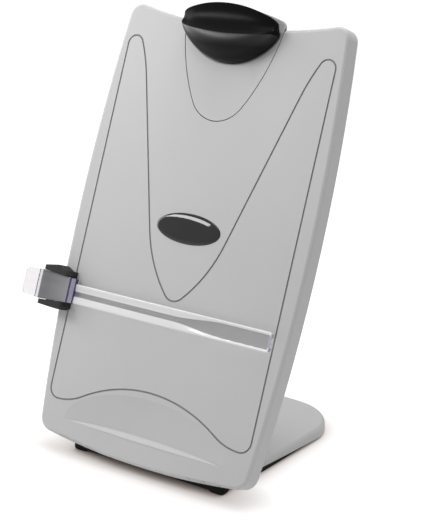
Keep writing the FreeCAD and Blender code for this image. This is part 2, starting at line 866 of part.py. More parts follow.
def back_cover():
    body = new_body("back_cover")
    outer = Drawing(body, "outline", "XY", -d.board_thick)
    board_outline(outer, 0)
    outer.pad("block", d.cover_depth)
    floor = d.cover_wall - d.board_thick
    tray = Drawing(body, "tray_outline", "XY", floor)
    board_outline(tray, d.wall, bevel_rise())
    tray.cut("tray", d.cover_depth - d.cover_wall)
    corner_rounds(body, d.wall, floor, SHELL_BACK, "tray_corners")
    corner_rounds(body, 0, -d.board_thick, SHELL_BACK, "corners")

    def back_rim(edge):
        return level(edge, -d.board_thick.value)

    round_edges(body, "back_round", d.back_round, back_rim)
    pads = Drawing(body, "screw_pad_sketch", "XY", floor)
    for x, y in both_sides(BOARD_SCREWS):
        pads.circle(x, y, d.boss_radius)
    pads.pad("screw_pads", d.cover_depth - d.cover_wall)
    trim_underside(body, "level_underside")
    holes = Drawing(body, "hole_sketch", "XY", -d.board_thick)
    for x, y in both_sides(BOARD_SCREWS):
        holes.circle(x, y, d.screw_radius + d.screw_play)
    for x, y in both_sides(SEAT_SCREWS + BRACKET_SCREWS):
        holes.circle(x, y, d.screw_radius + d.screw_play)
    holes.cut("holes", d.cover_depth)
    sinks = Drawing(body, "counterbore_sketch", "XY", -d.board_thick)
    for x, y in both_sides(BOARD_SCREWS):
        sinks.circle(x, y, d.screw_head + d.screw_play)
    for x, y in both_sides(SEAT_SCREWS):
        sinks.circle(x, y, d.screw_head + d.screw_play)
    sinks.cut("counterbores", d.screw_head_high)
    return body


# ---------------------------------------------------------------- clip seat, pin and lever


def clip_seat():
    body = new_body("clip_seat")
    depth = d.board_thick - d.cover_depth
    outer = Drawing(body, "outline", "XY", SHELL_BACK)
    seat_outline(outer, 0)
    outer.pad("block", depth)
    seat_corners(body, SHELL_BACK, ZERO, "corners")
    hollow = Drawing(body, "hollow_sketch", "XY", SHELL_BACK)
    seat_outline(hollow, -d.wall)
    hollow.cut("hollow", depth - d.wall)
    overhang = Drawing(body, "overhang_sketch", "XY", SHELL_BACK)
    top_edge_band(overhang, d.clip_half + 10, ZERO, d.seat_rise + 10)
    overhang.cut("overhang", depth - d.seat_thin)
    closing = Drawing(body, "top_wall_sketch", "XY", SHELL_BACK)
    top_edge_band(closing, seat_half(d.top_dip_up) - d.wall / 2, d.wall, ZERO)
    closing.pad("top_wall", depth - d.wall / 2)
    bosses = Drawing(body, "boss_sketch", "XY", SHELL_BACK)
    for x, y in both_sides(SEAT_SCREWS):
        bosses.circle(x, y, d.boss_radius)
    bosses.pad("bosses", depth - d.wall + 0.2)
    pilots = Drawing(body, "pilot_sketch", "XY", SHELL_BACK)
    for x, y in both_sides(SEAT_SCREWS):
        pilots.circle(x, y, d.screw_radius + d.screw_play)
    pilots.cut("pilots", d.screw_long - 1)
    for side, name in ((1, "right_ear"), (-1, "left_ear")):
        start = d.clip_ear_in if side > 0 else -d.clip_ear_in - d.clip_ear
        ear = Drawing(body, name + "_sketch", "YZ", start)
        reach, corner = d.clip_ear_reach, d.pin_radius
        ear.polygon(
            [
                (d.clip_pin_up - d.clip_ear_foot, -d.wall / 2),
                (d.clip_pin_up + d.clip_ear_foot, -d.wall / 2),
                (d.clip_pin_up + reach, d.clip_pin_out + corner),
                (d.clip_pin_up + corner, d.clip_pin_out + reach),
                (d.clip_pin_up - corner, d.clip_pin_out + reach),
                (d.clip_pin_up - reach, d.clip_pin_out + corner),
            ]
        )
        ear.pad(name, d.clip_ear)
    bore = Drawing(body, "pin_bore_sketch", "YZ", ZERO)
    bore.circle(d.clip_pin_up, d.clip_pin_out, d.pin_radius + d.pin_play / 2)
    bore.cut("pin_bore", (d.clip_ear_in + d.clip_ear) * 2 + 1, middle=True)
    return body


def clip_pin():
    body = new_body("clip_pin")
    drawing = Drawing(body, "section", "YZ", ZERO)
    drawing.circle(d.clip_pin_up, d.clip_pin_out, d.pin_radius)
    drawing.pad("pin", (d.clip_ear_in + d.clip_ear) * 2, middle=True)
    return body


def drop(x, radius):
    """How far a circle has fallen away at x from its crest."""
    return radius - math.sqrt(radius * radius - x * x)


def clip_section(x):
    """One closed profile of the clip lever, across the clip at x from its middle."""
    share = abs(x) / d.clip_half.value
    fade = math.sqrt(max(1 - share * share, 0.0))
    tuck = share**24
    pin_up = d.clip_pin_up.value
    low = pin_up - d.clip_drop.value + drop(x, d.clip_low_radius.value) + 1.5 * tuck
    high = pin_up + d.clip_rise.value - drop(x, d.clip_high_radius.value) - 2 * tuck
    lip_share = (d.clip_drop - d.clip_lip_drop).value / (d.clip_drop + d.clip_rise).value
    lip = low + (high - low) * (lip_share - 0.2 * share**4)
    stand, end_out = d.clip_stand.value, d.clip_end_out.value
    tip_out = stand + d.clip_tip.value
    lip_out = end_out + (d.clip_lip_out.value - end_out) * fade**0.8
    top_out = end_out + (d.clip_top_out.value - end_out) * fade

    def back_out(up):
        """The back is flat behind the pin, then slopes so that the clip can rock."""
        return stand + 0.5 * max(up - pin_up - 2, 0.0)

    bend = max(pin_up + 2, low + 0.35 * (high - low))
    tip = Vector(x, low, tip_out)
    ridge = Vector(x, lip, lip_out)
    edge = Vector(x, high, top_out)
    belly = (tip + ridge) / 2 + Vector(0, -0.16, 0.14) * (ridge - tip).Length
    dish = (ridge + edge) / 2 + Vector(0, -0.05, -0.14) * (edge - ridge).Length
    behind = Vector(x, high, max(top_out - d.clip_skin.value, back_out(high) + 0.6))
    knee = Vector(x, bend, back_out(bend))
    foot = Vector(x, low + 0.3, back_out(low + 0.3))
    return Part.Wire(
        [
            Part.Arc(tip, belly, ridge).toShape(),
            Part.Arc(ridge, dish, edge).toShape(),
            Part.LineSegment(edge, behind).toShape(),
            Part.LineSegment(behind, knee).toShape(),
            Part.LineSegment(knee, foot).toShape(),
            Part.LineSegment(foot, tip).toShape(),
        ]
    )


def pin_room(x, width, radius, half):
    """A slot from the clip's back to past its pin, starting at x."""
    axis_up, axis_out = d.clip_pin_up.value, d.clip_pin_out.value
    over = Part.makeCylinder(radius, width, Vector(x, axis_up, axis_out), Vector(1, 0, 0))
    corner = Vector(x, axis_up - half, 0)
    return Part.makeBox(width, half * 2, axis_out, corner).fuse(over)


SPRING_HALF = 5.5
SPRING_ROOM = d.pin_radius.value + 2.1


def grip_outline(grow):
    """The rubber strip's four corners, grown outwards by grow."""
    low = d.clip_pin_up - d.clip_drop + d.grip_up - grow
    high = low + d.grip_rise + grow * 2
    foot, top = d.grip_bottom + grow * 2, d.grip_top + grow * 2
    return [(-foot, low), (foot, low), (top, high), (-top, high)]


def grip_corners(grow):
    points = [Vector(x.value, y.value, 0) for x, y in grip_outline(grow)]
    return points + points[:1]


def clip_lever():
    shares = (-1, -0.985, -0.93, -0.75, -0.42, 0, 0.42, 0.75, 0.93, 0.985, 1)
    wires = [clip_section(d.clip_half.value * share) for share in shares]
    solid = Part.makeLoft(wires, True, False)
    slot = (d.clip_ear + 2 * d.clip_play).value
    start = (d.clip_ear_in - d.clip_play).value
    reach = (d.clip_ear_reach + d.clip_room).value
    foot = math.hypot(d.clip_ear_foot.value, d.clip_pin_out.value) + d.clip_play.value
    for x in (start, -start - slot):
        solid = solid.cut(pin_room(x, slot, reach, foot))
    solid = solid.cut(pin_room(-SPRING_HALF, SPRING_HALF * 2, SPRING_ROOM, SPRING_ROOM))
    half = (d.clip_ear_in + d.clip_ear).value + 1
    axis = Vector(-half, d.clip_pin_up.value, d.clip_pin_out.value)
    bore = (d.pin_radius + d.pin_play).value
    solid = solid.cut(Part.makeCylinder(bore, half * 2, axis, Vector(1, 0, 0)))
    seat = Part.Face(Part.makePolygon(grip_corners(d.grip_play)))
    solid = solid.cut(seat.extrude(Vector(0, 0, (d.clip_stand + d.grip_sunk).value)))
    lever = doc.addObject("Part::Feature", "clip_lever_shape")
    lever.Shape = solid
    return sub_part(lever, "clip_lever", True)


def clip_grip():
    body = new_body("clip_grip")
    back = d.clip_stand + d.grip_sunk - d.grip_thick
    drawing = Drawing(body, "outline", "XY", back)
    drawing.polygon(grip_outline(ZERO))
    drawing.pad("strip", d.grip_thick)
    return body


def coil(label, centre, axis, inner, wire, turns):
    """A close-wound coil round an axis: stacked rings of wire with a plain bore."""
    out = Vector(0, 0, 1)

    def at(radius, along):
        return centre + out * radius + axis * along

    end = turns * wire
    path = []
    for number in range(turns):
        low = 2 * wire * number - end
        crest = at(inner + 2 * wire, low + wire)
        ring = Part.Arc(at(inner + wire, low), crest, at(inner + wire, low + 2 * wire))
        path.append(ring.toShape())
    corners = [at(inner + wire, end), at(inner, end), at(inner, -end), at(inner + wire, -end)]
    for first, second in zip(corners, corners[1:]):
        path.append(Part.LineSegment(first, second).toShape())
    spring = doc.addObject("Part::Feature", label + "_shape")
    spring.Shape = Part.Face(Part.Wire(path)).revolve(centre, axis, 360)
    return sub_part(spring, label, True)


# ---------------------------------------------------------------- badge


def badge():
    plate = doc.addObject("PartDesign::Body", "badge_plate")
    drawing = Drawing(plate, "outline", "XY", -d.badge_sunk)
    ellipse(drawing, d.badge_half, d.badge_rise)
    drawing.pad("plate", d.badge_sunk)
    dome = doc.addObject("Part::Ellipsoid", "badge_dome")
    tie(dome, "Radius1", d.badge_dome)
    tie(dome, "Radius2", d.badge_half)
    tie(dome, "Radius3", d.badge_rise)
    dome.Angle1 = 0
    dome.Placement = Placement(Vector(0, d.badge_up.value, 0), Rotation())
    tie(dome, "Placement.Base.y", d.badge_up)
    both = doc.addObject("Part::Fuse", "badge_fused")
    both.Base = plate
    both.Tool = dome
    return sub_part(both, "badge", True)


# ---------------------------------------------------------------- line guide


def slider_outer():
    """The slider's outer face, measured from the middle of the board."""
    return d.board_half + d.edge_play + d.slider_wall


def block_in():
    return slider_outer() - d.block_reach


def block_rise(across):
    """Half the height of the guide's tapering block, at a distance from the middle."""
    outer = slider_outer() + d.block_over
    slope = (d.block_outer_rise - d.block_inner_rise) / (outer - block_in())
    return d.block_outer_rise - (outer - across) * slope


def line_guide():
    body = new_body("line_guide")
    inner = block_in()
    outer = slider_outer() + d.block_over
    bar_end = d.board_half - d.bar_short
    low = d.guide_up - d.bar_drop
    high = low + d.bar_width
    bar = Drawing(body, "bar_sketch", "XY", d.bar_gap)
    bar.box(-inner - 1, bar_end, low, high)
    bar.pad("bar", d.bar_thick)

    def far_corner(edge):
        face = d.bar_gap + d.bar_thick
        return upright(edge, d.bar_gap.value, face.value) and edge.BoundBox.XMin > 0

    round_edges(body, "bar_corners", d.bar_corner, far_corner)
    tray = Drawing(body, "tray_sketch", "XY", d.bar_gap + d.bar_thick - d.bar_groove)
    tray.box(-inner + 1, bar_end - d.bar_rim, low + d.bar_rim, high - d.bar_rim)
    tray.cut("tray", d.bar_groove)
    block = Drawing(body, "block_sketch", "XZ", d.guide_up - d.block_outer_rise)
    cap_under = d.block_face - d.cap_thick
    lip = outer + d.tab_lip
    end = outer + d.tab_length
    block.polygon(
        [
            (-inner, d.bar_gap),
            (-inner + 1, d.bar_gap),
            (-inner + 1, d.bar_gap + d.bar_thick),
            (-inner, d.block_face),
            (-lip, d.block_face),
            (-end, d.tab_face),
            (-end, d.tab_face - d.tab_thick),
            (-lip, cap_under),
            (-inner - d.cap_thick, cap_under),
            (-inner - d.cap_thick, d.bar_gap),
        ]
    )
    block.pad("block", d.block_outer_rise * 2)

    taper = Drawing(body, "taper_sketch", "XY", ZERO)
    spare = d.block_outer_rise + 1
    for side in (1, -1):
        taper.polygon(
            [
                (-end - 1, d.guide_up + side * d.tab_rise),
                (-outer, d.guide_up + side * d.block_outer_rise),
                (-inner, d.guide_up + side * d.block_inner_rise),
                (2 - inner, d.guide_up + side * d.block_inner_rise),
                (2 - inner, d.guide_up + side * spare),
                (-end - 1, d.guide_up + side * spare),
            ]
        )
    taper.cut("taper", d.block_face + 1)

    def tab_end(edge):
        box = edge.BoundBox
        return box.XMax < -end.value + 1e-3 and box.YLength < 1e-3 and box.ZLength > 1

    round_edges(body, "tab_corners", d.tab_corner, tab_end)
    slit = Drawing(body, "slit_sketch", "XY", d.block_face - d.tab_slit_deep)
    slit_half = d.tab_rise - d.tab_corner + 1
    slit.box(-lip - d.tab_slit, -lip, d.guide_up - slit_half, d.guide_up + slit_half)
    slit.cut("slit", d.tab_slit_deep)
    pin_in = slider_outer() - d.pin_inset
    rise = block_rise(pin_in)
    barrel = Drawing(body, "barrel_sketch", "XZ", d.guide_up - rise + 1)
    barrel.circle(-pin_in, d.guide_pin_out, d.pin_radius + 2.1)
    barrel.pad("barrel", rise * 2 - SPRING_LONG - 2)
    bore = Drawing(body, "bore_sketch", "XZ", d.guide_up - rise)
    bore.circle(-pin_in, d.guide_pin_out, d.pin_radius + d.pin_play)
    bore.cut("bore", rise * 2 - SPRING_LONG)
    room = Drawing(body, "spring_room_sketch", "XZ", d.guide_up + rise - SPRING_LONG - 1)
    room.circle(-pin_in, d.guide_pin_out, d.pin_radius + 1.5)
    room.cut("spring_room", SPRING_LONG + 2)
    return body


SPRING_LONG = 4.0


# ---------------------------------------------------------------- slider


def slider_body():
    body = new_body("slider_body")
    inner = d.board_half + d.edge_play
    outer = slider_outer()
    low = d.guide_up - d.slider_half
    wrap = Drawing(body, "wrap_sketch", "XZ", low)
    back = -d.board_thick - d.slider_play
    reach = outer - d.slider_reach
    wrap.polygon(
        [
            (-outer, back),
            (-inner, back),
            (-inner, d.slider_play),
            (-reach, d.slider_play),
            (-reach, d.slider_play + d.slider_web),
            (-outer, d.slider_play + d.slider_web),
        ]
    )
    wrap.pad("wrap", d.slider_half * 2)
    pin_in = outer - d.pin_inset
    ears = (
        (1, "upper_ear", d.upper_ear_peak, d.upper_ear_shoulder),
        (-1, "lower_ear", d.lower_ear_peak, d.lower_ear_shoulder),
    )
    for side, name, peak, shoulder in ears:
        ear = Drawing(body, name + "_sketch", "XY", d.slider_play)
        profile = [
            (outer, block_rise(outer) + d.slider_play),
            (outer, d.ear_outer),
            (pin_in, peak),
            (reach + 3.6, shoulder),
            (reach, shoulder - 3.2),
            (reach, block_rise(reach) + d.slider_play),
        ]
        ear.polygon([(-across, d.guide_up + side * rise) for across, rise in profile])
        ear.pad(name, d.ear_out - d.slider_play)

    def front_corner(edge):
        box = edge.BoundBox
        across = box.XLength < 1e-4 and box.ZLength < 1e-4
        at_end = min(abs(box.XMin + outer.value), abs(box.XMin + reach.value)) < 1e-3
        return across and at_end and abs(box.ZMax - d.ear_out.value) < 1e-3

    round_edges(body, "ear_rounds", as_size(2.0), front_corner)
    bore = Drawing(body, "pin_bore_sketch", "XZ", d.guide_up - d.lower_ear_peak - 1)
    bore.circle(-pin_in, d.guide_pin_out, d.pin_radius + d.pin_play / 2)
    bore.cut("pin_bore", d.lower_ear_peak + d.upper_ear_peak + 2)
    pilots = Drawing(body, "pilot_sketch", "XY", back)
    for up in slider_screw_ups():
        pilots.circle(-inner - d.slider_wall / 2, up, d.screw_radius + d.screw_play)
    pilots.cut("pilots", d.screw_long)
    return body


def slider_screw_ups():
    return (d.guide_up - d.slider_screw, d.guide_up + d.slider_screw)


def slider_jaw():
    """The black block behind the board, slotted to ride on the T-shaped rail."""
    body = new_body("slider_jaw")
    outer = slider_outer()
    rail_in = d.board_half - d.rail_inset
    jaw_in = rail_in - d.jaw_over
    front = -d.board_thick - d.slider_play
    back = front - d.jaw_thick
    half = d.slider_half - d.jaw_trim
    neck = d.rail_neck / 2 + d.rail_play
    head = d.rail_head / 2 + d.rail_play
    step = -d.board_thick - d.rail_step + d.rail_play
    floor = -d.board_thick - d.rail_step * 2 - d.rail_play
    block = Drawing(body, "section", "XZ", d.guide_up - half)
    block.polygon(
        [
            (-outer, back),
            (-jaw_in, back),
            (-jaw_in, front),
            (-rail_in + neck, front),
            (-rail_in + neck, step),
            (-rail_in + head, step),
            (-rail_in + head, floor),
            (-rail_in - head, floor),
            (-rail_in - head, step),
            (-rail_in - neck, step),
            (-rail_in - neck, front),
            (-outer, front),
        ]
    )
    block.pad("block", half * 2)
    x = -d.board_half - d.edge_play - d.slider_wall / 2
    holes = Drawing(body, "hole_sketch", "XY", back)
    sinks = Drawing(body, "counterbore_sketch", "XY", back)
    for up in slider_screw_ups():
        holes.circle(x, up, d.screw_radius + d.screw_play)
        sinks.circle(x, up, d.screw_head + d.screw_play)
    holes.cut("holes", d.jaw_thick)
    sinks.cut("counterbores", d.screw_head_high + 0.2)
    return body


def guide_pin():
    body = new_body("guide_pin")
    low = d.guide_up - d.lower_ear_peak + 0.5
    drawing = Drawing(body, "section", "XZ", low)
    drawing.circle(d.pin_inset - slider_outer(), d.guide_pin_out, d.pin_radius)
    drawing.pad("shank", d.lower_ear_peak + d.upper_ear_peak - 1.4)
    return body


def slide_rail():
    body = new_body("slide_rail")
    neck, head = d.rail_neck / 2, d.rail_head / 2
    rail_in = d.board_half - d.rail_inset
    face = -d.board_thick
    mid = face - d.rail_step
    back = mid - d.rail_step
    drawing = Drawing(body, "section", "XZ", d.rail_low_up)
    drawing.polygon(
        [
            (-rail_in - neck, face),
            (-rail_in - neck, mid),
            (-rail_in - head, mid),
            (-rail_in - head, back),
            (-rail_in + head, back),
            (-rail_in + head, mid),
            (-rail_in + neck, mid),
            (-rail_in + neck, face),
        ]
    )
    drawing.pad("rail", d.rail_high_up - d.rail_low_up)
    return body


# ---------------------------------------------------------------- hinge


def hinge_bracket():
    body = new_body("hinge_bracket")
    face = -d.board_thick
    back = face - d.bracket_thick
    plate = Drawing(body, "plate_sketch", "XY", back)
    plate.box(-d.bracket_half, d.bracket_half, d.bracket_low_up, d.bracket_high_up)
    plate.pad("plate", d.bracket_thick)
    axis = face - d.hinge_back
    gap = d.knuckle_half + d.washer_thick + d.washer_play * 2
    for side, name in ((1, "right_lug"), (-1, "left_lug")):
        start = gap if side > 0 else -gap - d.lug_thick
        lug = Drawing(body, name + "_sketch", "YZ", start)
        reach = d.lug_radius
        top = lug.line((d.hinge_up + reach, back + 0.4), (d.hinge_up - reach, back + 0.4))
        left = lug.line((d.hinge_up - reach, back + 0.4), (d.hinge_up - reach, axis))
        bend = lug.arc((d.hinge_up, axis), reach, 180, 360)
        right = lug.line((d.hinge_up + reach, axis), (d.hinge_up + reach, back + 0.4))
        lug.rule("Coincident", top, 2, left, 1)
        lug.rule("Tangent", left, 2, bend, 1)
        lug.rule("Tangent", bend, 2, right, 1)
        lug.rule("Coincident", right, 2, top, 1)
        lug.fix(bend, 3, (d.hinge_up, axis))
        lug.fix(top, 1, (d.hinge_up + reach, back + 0.4))
        lug.rule("Horizontal", top)
        lug.rule("Vertical", left)
        lug.pad(name, d.lug_thick)
    bore = Drawing(body, "bore_sketch", "YZ", ZERO)
    bore.circle(d.hinge_up, axis, d.axle_radius + d.axle_play)
    bore.cut("bore", (gap + d.lug_thick) * 2 + 2, middle=True)
    holes = Drawing(body, "hole_sketch", "XY", back)
    for x, y in both_sides(BRACKET_SCREWS):
        holes.circle(x, y, d.screw_radius + d.screw_play)
    holes.cut("holes", d.bracket_thick)
    return body


def hinge_axis():
    """Where the hinge's axis lies in the row frame, as (y, z)."""
    deep = d.board_thick + d.hinge_back
    y = d.hinge_up * sin(d.lean) + deep * cos(d.lean) - d.board_setback
    z = d.corner_height + d.hinge_up * cos(d.lean) - deep * sin(d.lean)
    return y, z


def hinge_axle():
    y, z = hinge_axis()
    reach = d.knuckle_half + d.washer_thick + d.washer_play * 3 + d.lug_thick
    body = new_body("hinge_axle", on_board=False)
    drawing = Drawing(body, "section", "YZ", ZERO)
    drawing.circle(y, z, d.axle_radius)
    drawing.pad("rod", reach * 2 + d.axle_cap, middle=True)
    return body


def ring_pair(label, inner, outer, start, thick):
    """Two equal rings on the hinge axis, one each side of the middle."""
    y, z = hinge_axis()
    rings = []
    for side in (1, -1):
        outside = doc.addObject("Part::Cylinder", f"{label}_outer_{side + 1}")
        inside = doc.addObject("Part::Cylinder", f"{label}_inner_{side + 1}")
        tie(outside, "Radius", outer)
        tie(inside, "Radius", inner)
        for piece in (outside, inside):
            at = start if side > 0 else -start - thick
            piece.Placement = Placement(
                Vector(at.value, y.value, z.value), Rotation(Vector(0, 1, 0), 90)
            )
            tie(piece, "Height", thick)
            tie(piece, "Placement.Base.x", at)
            tie(piece, "Placement.Base.y", y)
            tie(piece, "Placement.Base.z", z)
        ring = doc.addObject("Part::Cut", f"{label}_{side + 1}")
        ring.Base = outside
        ring.Tool = inside
        rings.append(ring)
    pair = doc.addObject("Part::Compound", label)
    pair.Links = rings
    return sub_part(pair, label, False)


# ---------------------------------------------------------------- base


def base_outline(drawing, inset, front):
    """Straight front, faintly bowed sides and back; its corners are rounded later."""
    inset = as_size(inset)
    side_x = d.base_side_radius - d.base_half
    side = d.base_side_radius - inset
    back_c = (ZERO, d.base_back - d.base_back_radius)
    back_r = d.base_back_radius - inset
    right_c = (-side_x.value, -d.base_mid.value)
    rear = crossing(right_c, side.value, (0, back_c[1].value), back_r.value, 1)
    nose_y = (inset - front).value
    nose_x = right_c[0] + math.sqrt(side.value**2 - (nose_y - right_c[1]) ** 2)
    a_rear = heading(right_c, rear)
    a_nose = heading(right_c, (nose_x, nose_y))
    b_rear = heading((0, back_c[1].value), rear)
    right = drawing.arc(right_c, side, a_nose, a_rear)
    left = drawing.arc((-right_c[0], right_c[1]), side, 180 - a_rear, 180 - a_nose)
    back = drawing.arc(back_c, back_r, b_rear, 180 - b_rear)
    nose = drawing.line((-nose_x, nose_y), (nose_x, nose_y))
    drawing.rule("Coincident", right, 2, back, 1)
    drawing.rule("Coincident", back, 2, left, 1)
    drawing.rule("Coincident", left, 2, nose, 1)
    drawing.rule("Coincident", nose, 2, right, 1)
    drawing.fix(right, 3, (-side_x, -d.base_mid))
    drawing.fix(left, 3, (side_x, -d.base_mid))
    drawing.fix(back, 3, back_c)
    drawing.rule("Horizontal", nose)
    drawing.rule("DistanceY", -1, 1, nose, 1, inset - front)


def base_corners(body, inset, low, high, name, nose=True):
    def at_back(edge):
        return upright(edge, low.value, high.value) and edge.BoundBox.YMin > -60

    def at_nose(edge):
        return upright(edge, low.value, high.value) and edge.BoundBox.YMax < -60

    round_edges(body, name + "_back", d.base_corner - inset, at_back)
    if nose:
        round_edges(body, name + "_nose", d.nose_corner - inset, at_nose)


def base_shell():
    body = new_body("base_shell", on_board=False)
    y_axis, z_axis = hinge_axis()
    outer = Drawing(body, "outline", "XY", ZERO)
    base_outline(outer, 0, SHELL_FRONT)
    outer.pad("block", d.shell_high)
    foot = d.plate_low + d.plate_thick
    ceiling = foot + 1.6
    hollow = Drawing(body, "hollow_sketch", "XY", ZERO)
    base_outline(hollow, d.shell_wall * 2, SHELL_FRONT)
    hollow.cut("hollow", ceiling)
    base_corners(body, d.shell_wall * 2, ZERO, ceiling, "hollow_corners", nose=False)
    slot = Drawing(body, "plate_room_sketch", "XY", ZERO)
    base_outline(slot, d.shell_wall, PLATE_FRONT + 10)
    slot.cut("plate_room", foot)
    base_corners(body, d.shell_wall, ZERO, foot, "plate_room_corners", nose=False)
    base_corners(body, 0, ZERO, d.shell_high, "corners")
    rim = Drawing(body, "rim_sketch", "YZ", ZERO)
    start = -SHELL_FRONT - 5
    turn = d.base_back - d.rim_run
    rim.polygon(
        [
            (start, ZERO - 5),
            (d.base_back + 5, ZERO - 5),
            (d.base_back + 5, d.rim_back),
            (d.base_back - d.rim_heel, d.rim_back),
            (turn, d.rim_front),
            (start, d.rim_front),
        ]
    )
    rim.cut("sloped_rim", d.base_half * 2 + 20, middle=True)
    crown = Drawing(body, "crown_sketch", "XZ", -SHELL_FRONT - 5)
    half = d.base_half + 5
    edge_z = d.shell_high - (d.shell_crown - root(d.shell_crown * d.shell_crown - half * half))
    low_c = (0.0, d.shell_high.value - d.shell_crown.value)
    a_edge = heading(low_c, (half.value, edge_z.value))
    arc = crown.arc(low_c, d.shell_crown, a_edge, 180 - a_edge)
    left = crown.line((-half, edge_z), (-half, d.shell_high + 10))
    top = crown.line((-half, d.shell_high + 10), (half, d.shell_high + 10))
    right = crown.line((half, d.shell_high + 10), (half, edge_z))
    crown.rule("Coincident", arc, 2, left, 1)
    crown.rule("Coincident", left, 2, top, 1)
    crown.rule("Coincident", top, 2, right, 1)
    crown.rule("Coincident", right, 2, arc, 1)
    crown.fix(arc, 3, (ZERO, d.shell_high - d.shell_crown))
    crown.rule("DistanceX", left, 1, -1, 1, half)
    crown.rule("DistanceX", -1, 1, right, 2, half)
    crown.fix(left, 2, (-half, d.shell_high + 10))
    crown.fix(right, 1, (half, d.shell_high + 10))
    crown.cut("crown", SHELL_FRONT + d.base_back + 20)

    def top_rim(edge):
        box = edge.BoundBox
        return box.ZMin > ceiling.value + 0.1 and box.ZMax < d.shell_high.value + 0.1

    round_edges(body, "top_round", d.shell_round, top_rim)
    tower = Drawing(body, "tower_sketch", "YZ", ZERO)
    front = y_axis - d.knuckle_radius
    rear = (y_axis + d.tower_run, d.shell_high - 1.2)
    gap = math.hypot(rear[0].value - y_axis.value, rear[1].value - z_axis.value)
    down = math.degrees(math.atan2(rear[1].value - z_axis.value, rear[0].value - y_axis.value))
    touch = down + math.degrees(math.acos(d.knuckle_radius.value / gap))
    t = (
        y_axis.value + d.knuckle_radius.value * math.cos(math.radians(touch)),
        z_axis.value + d.knuckle_radius.value * math.sin(math.radians(touch)),
    )
    rise = tower.line((front, foot), (front, z_axis))
    knuckle = tower.arc((y_axis, z_axis), d.knuckle_radius, touch, 180)
    slope = tower.line(t, rear)
    heel = tower.line(rear, (rear[0], foot))
    sole = tower.line((rear[0], foot), (front, foot))
    tower.rule("Tangent", rise, 2, knuckle, 2)
    tower.rule("Tangent", knuckle, 1, slope, 1)
    tower.rule("Coincident", slope, 2, heel, 1)
    tower.rule("Coincident", heel, 2, sole, 1)
    tower.rule("Coincident", sole, 2, rise, 1)
    tower.fix(knuckle, 3, (y_axis, z_axis))
    tower.fix(heel, 1, rear)
    tower.fix(sole, 1, (rear[0], foot))
    tower.fix(rise, 1, (front, foot))
    tower.pad("tower", d.knuckle_half * 2, middle=True)

    def tower_side(edge):
        box = edge.BoundBox
        flat = box.XLength < 1e-4
        at_side = abs(abs(box.XMin) - d.knuckle_half.value) < 1e-3
        return flat and at_side and box.ZMax > d.shell_high.value + 8 and box.YLength > 20

    round_edges(body, "tower_round", d.tower_round, tower_side)
    bore = Drawing(body, "axle_bore_sketch", "YZ", ZERO)
    bore.circle(y_axis, z_axis, d.axle_radius + d.axle_play / 2)
    bore.cut("axle_bore", d.knuckle_half * 2 + 2, middle=True)
    well = Drawing(body, "tower_hollow_sketch", "XY", foot)
    well.box(
        -d.knuckle_half + 4, d.knuckle_half - 4, y_axis + d.knuckle_radius + 3, y_axis + 40
    )
    well.cut("tower_hollow", d.tower_well)
    bosses = Drawing(body, "boss_sketch", "XY", foot)
    for x, y in both_sides(SHELL_SCREWS):
        bosses.circle(x, y, d.boss_radius)
    bosses.pad("bosses", d.shell_boss)
    pilots = Drawing(body, "pilot_sketch", "XY", foot)
    for x, y in both_sides(SHELL_SCREWS):
        pilots.circle(x, y, d.screw_radius + d.screw_play)
    pilots.cut("pilots", d.shell_pilot)
    return body


def base_plate():
    body = new_body("base_plate", on_board=False)
    inset = d.shell_wall + d.plate_play
    high = d.plate_low + d.plate_thick
    outer = Drawing(body, "outline", "XY", d.skirt_low)
    base_outline(outer, inset, PLATE_FRONT + inset)
    outer.pad("plate", high - d.skirt_low)
    under = Drawing(body, "underside_sketch", "XY", d.skirt_low)
    base_outline(under, inset + d.skirt_wall, PLATE_FRONT)
    under.cut("underside", d.plate_low - d.skirt_low)
    base_corners(body, inset + d.skirt_wall, d.skirt_low, d.plate_low, "inner", nose=False)
    base_corners(body, inset, d.skirt_low, high, "corners")
    nose = Drawing(body, "nose_sketch", "XY", d.skirt_low)
    nose.box(-d.base_half, d.base_half, -PLATE_FRONT - 1, d.skirt_back - PLATE_FRONT)
    nose.cut("open_nose", d.plate_low - d.skirt_low)
    holes = Drawing(body, "hole_sketch", "XY", d.plate_low)
    for x, y in both_sides(SHELL_SCREWS):
        holes.circle(x, y, d.screw_radius + d.screw_play)
    holes.cut("holes", d.plate_thick)
    sinks = Drawing(body, "counterbore_sketch", "XY", d.plate_low)
    for x, y in both_sides(SHELL_SCREWS):
        sinks.circle(x, y, d.screw_head + d.screw_play)
    sinks.cut("counterbores", d.screw_head_high + 0.2)
    feet = Drawing(body, "foot_recess_sketch", "XY", d.plate_low)
    for side in (1, -1):
        foot_box(feet, side, d.plate_play)
    feet.box(
        -d.rear_foot_half - d.plate_play,
        d.rear_foot_half + d.plate_play,
        -d.rear_foot_back - d.plate_play,
        d.rear_foot_back + d.plate_play,
    )
    feet.cut("foot_recesses", d.foot_sunk)
    return body


def foot_box(drawing, side, grow):
    """A front foot's outline; side is 1 for the right foot and -1 for the left."""
    grow = as_size(grow)
    inner = d.front_foot_in - d.front_foot_half - grow
    outer = d.front_foot_in + d.front_foot_half + grow
    x0, x1 = (inner, outer) if side > 0 else (-outer, -inner)
    middle = d.front_foot_back + d.foot_nose - PLATE_FRONT
    drawing.box(x0, x1, middle - d.front_foot_back - grow, middle + d.front_foot_back + grow)


def foot(label, draw):
    body = new_body(label, on_board=False)
    drawing = Drawing(body, "outline", "XY", ZERO)
    draw(drawing)
    high = d.plate_low + d.foot_sunk
    drawing.pad("pad", high)
    round_edges(
        body, "corners", d.foot_corner, lambda edge: upright(edge, 0.0, high.value)
    )
    round_edges(body, "sole", d.foot_round, lambda edge: level(edge, 0.0))
    return body


def rear_box(drawing):
    drawing.box(-d.rear_foot_half, d.rear_foot_half, -d.rear_foot_back, d.rear_foot_back)


# ---------------------------------------------------------------- the whole holder

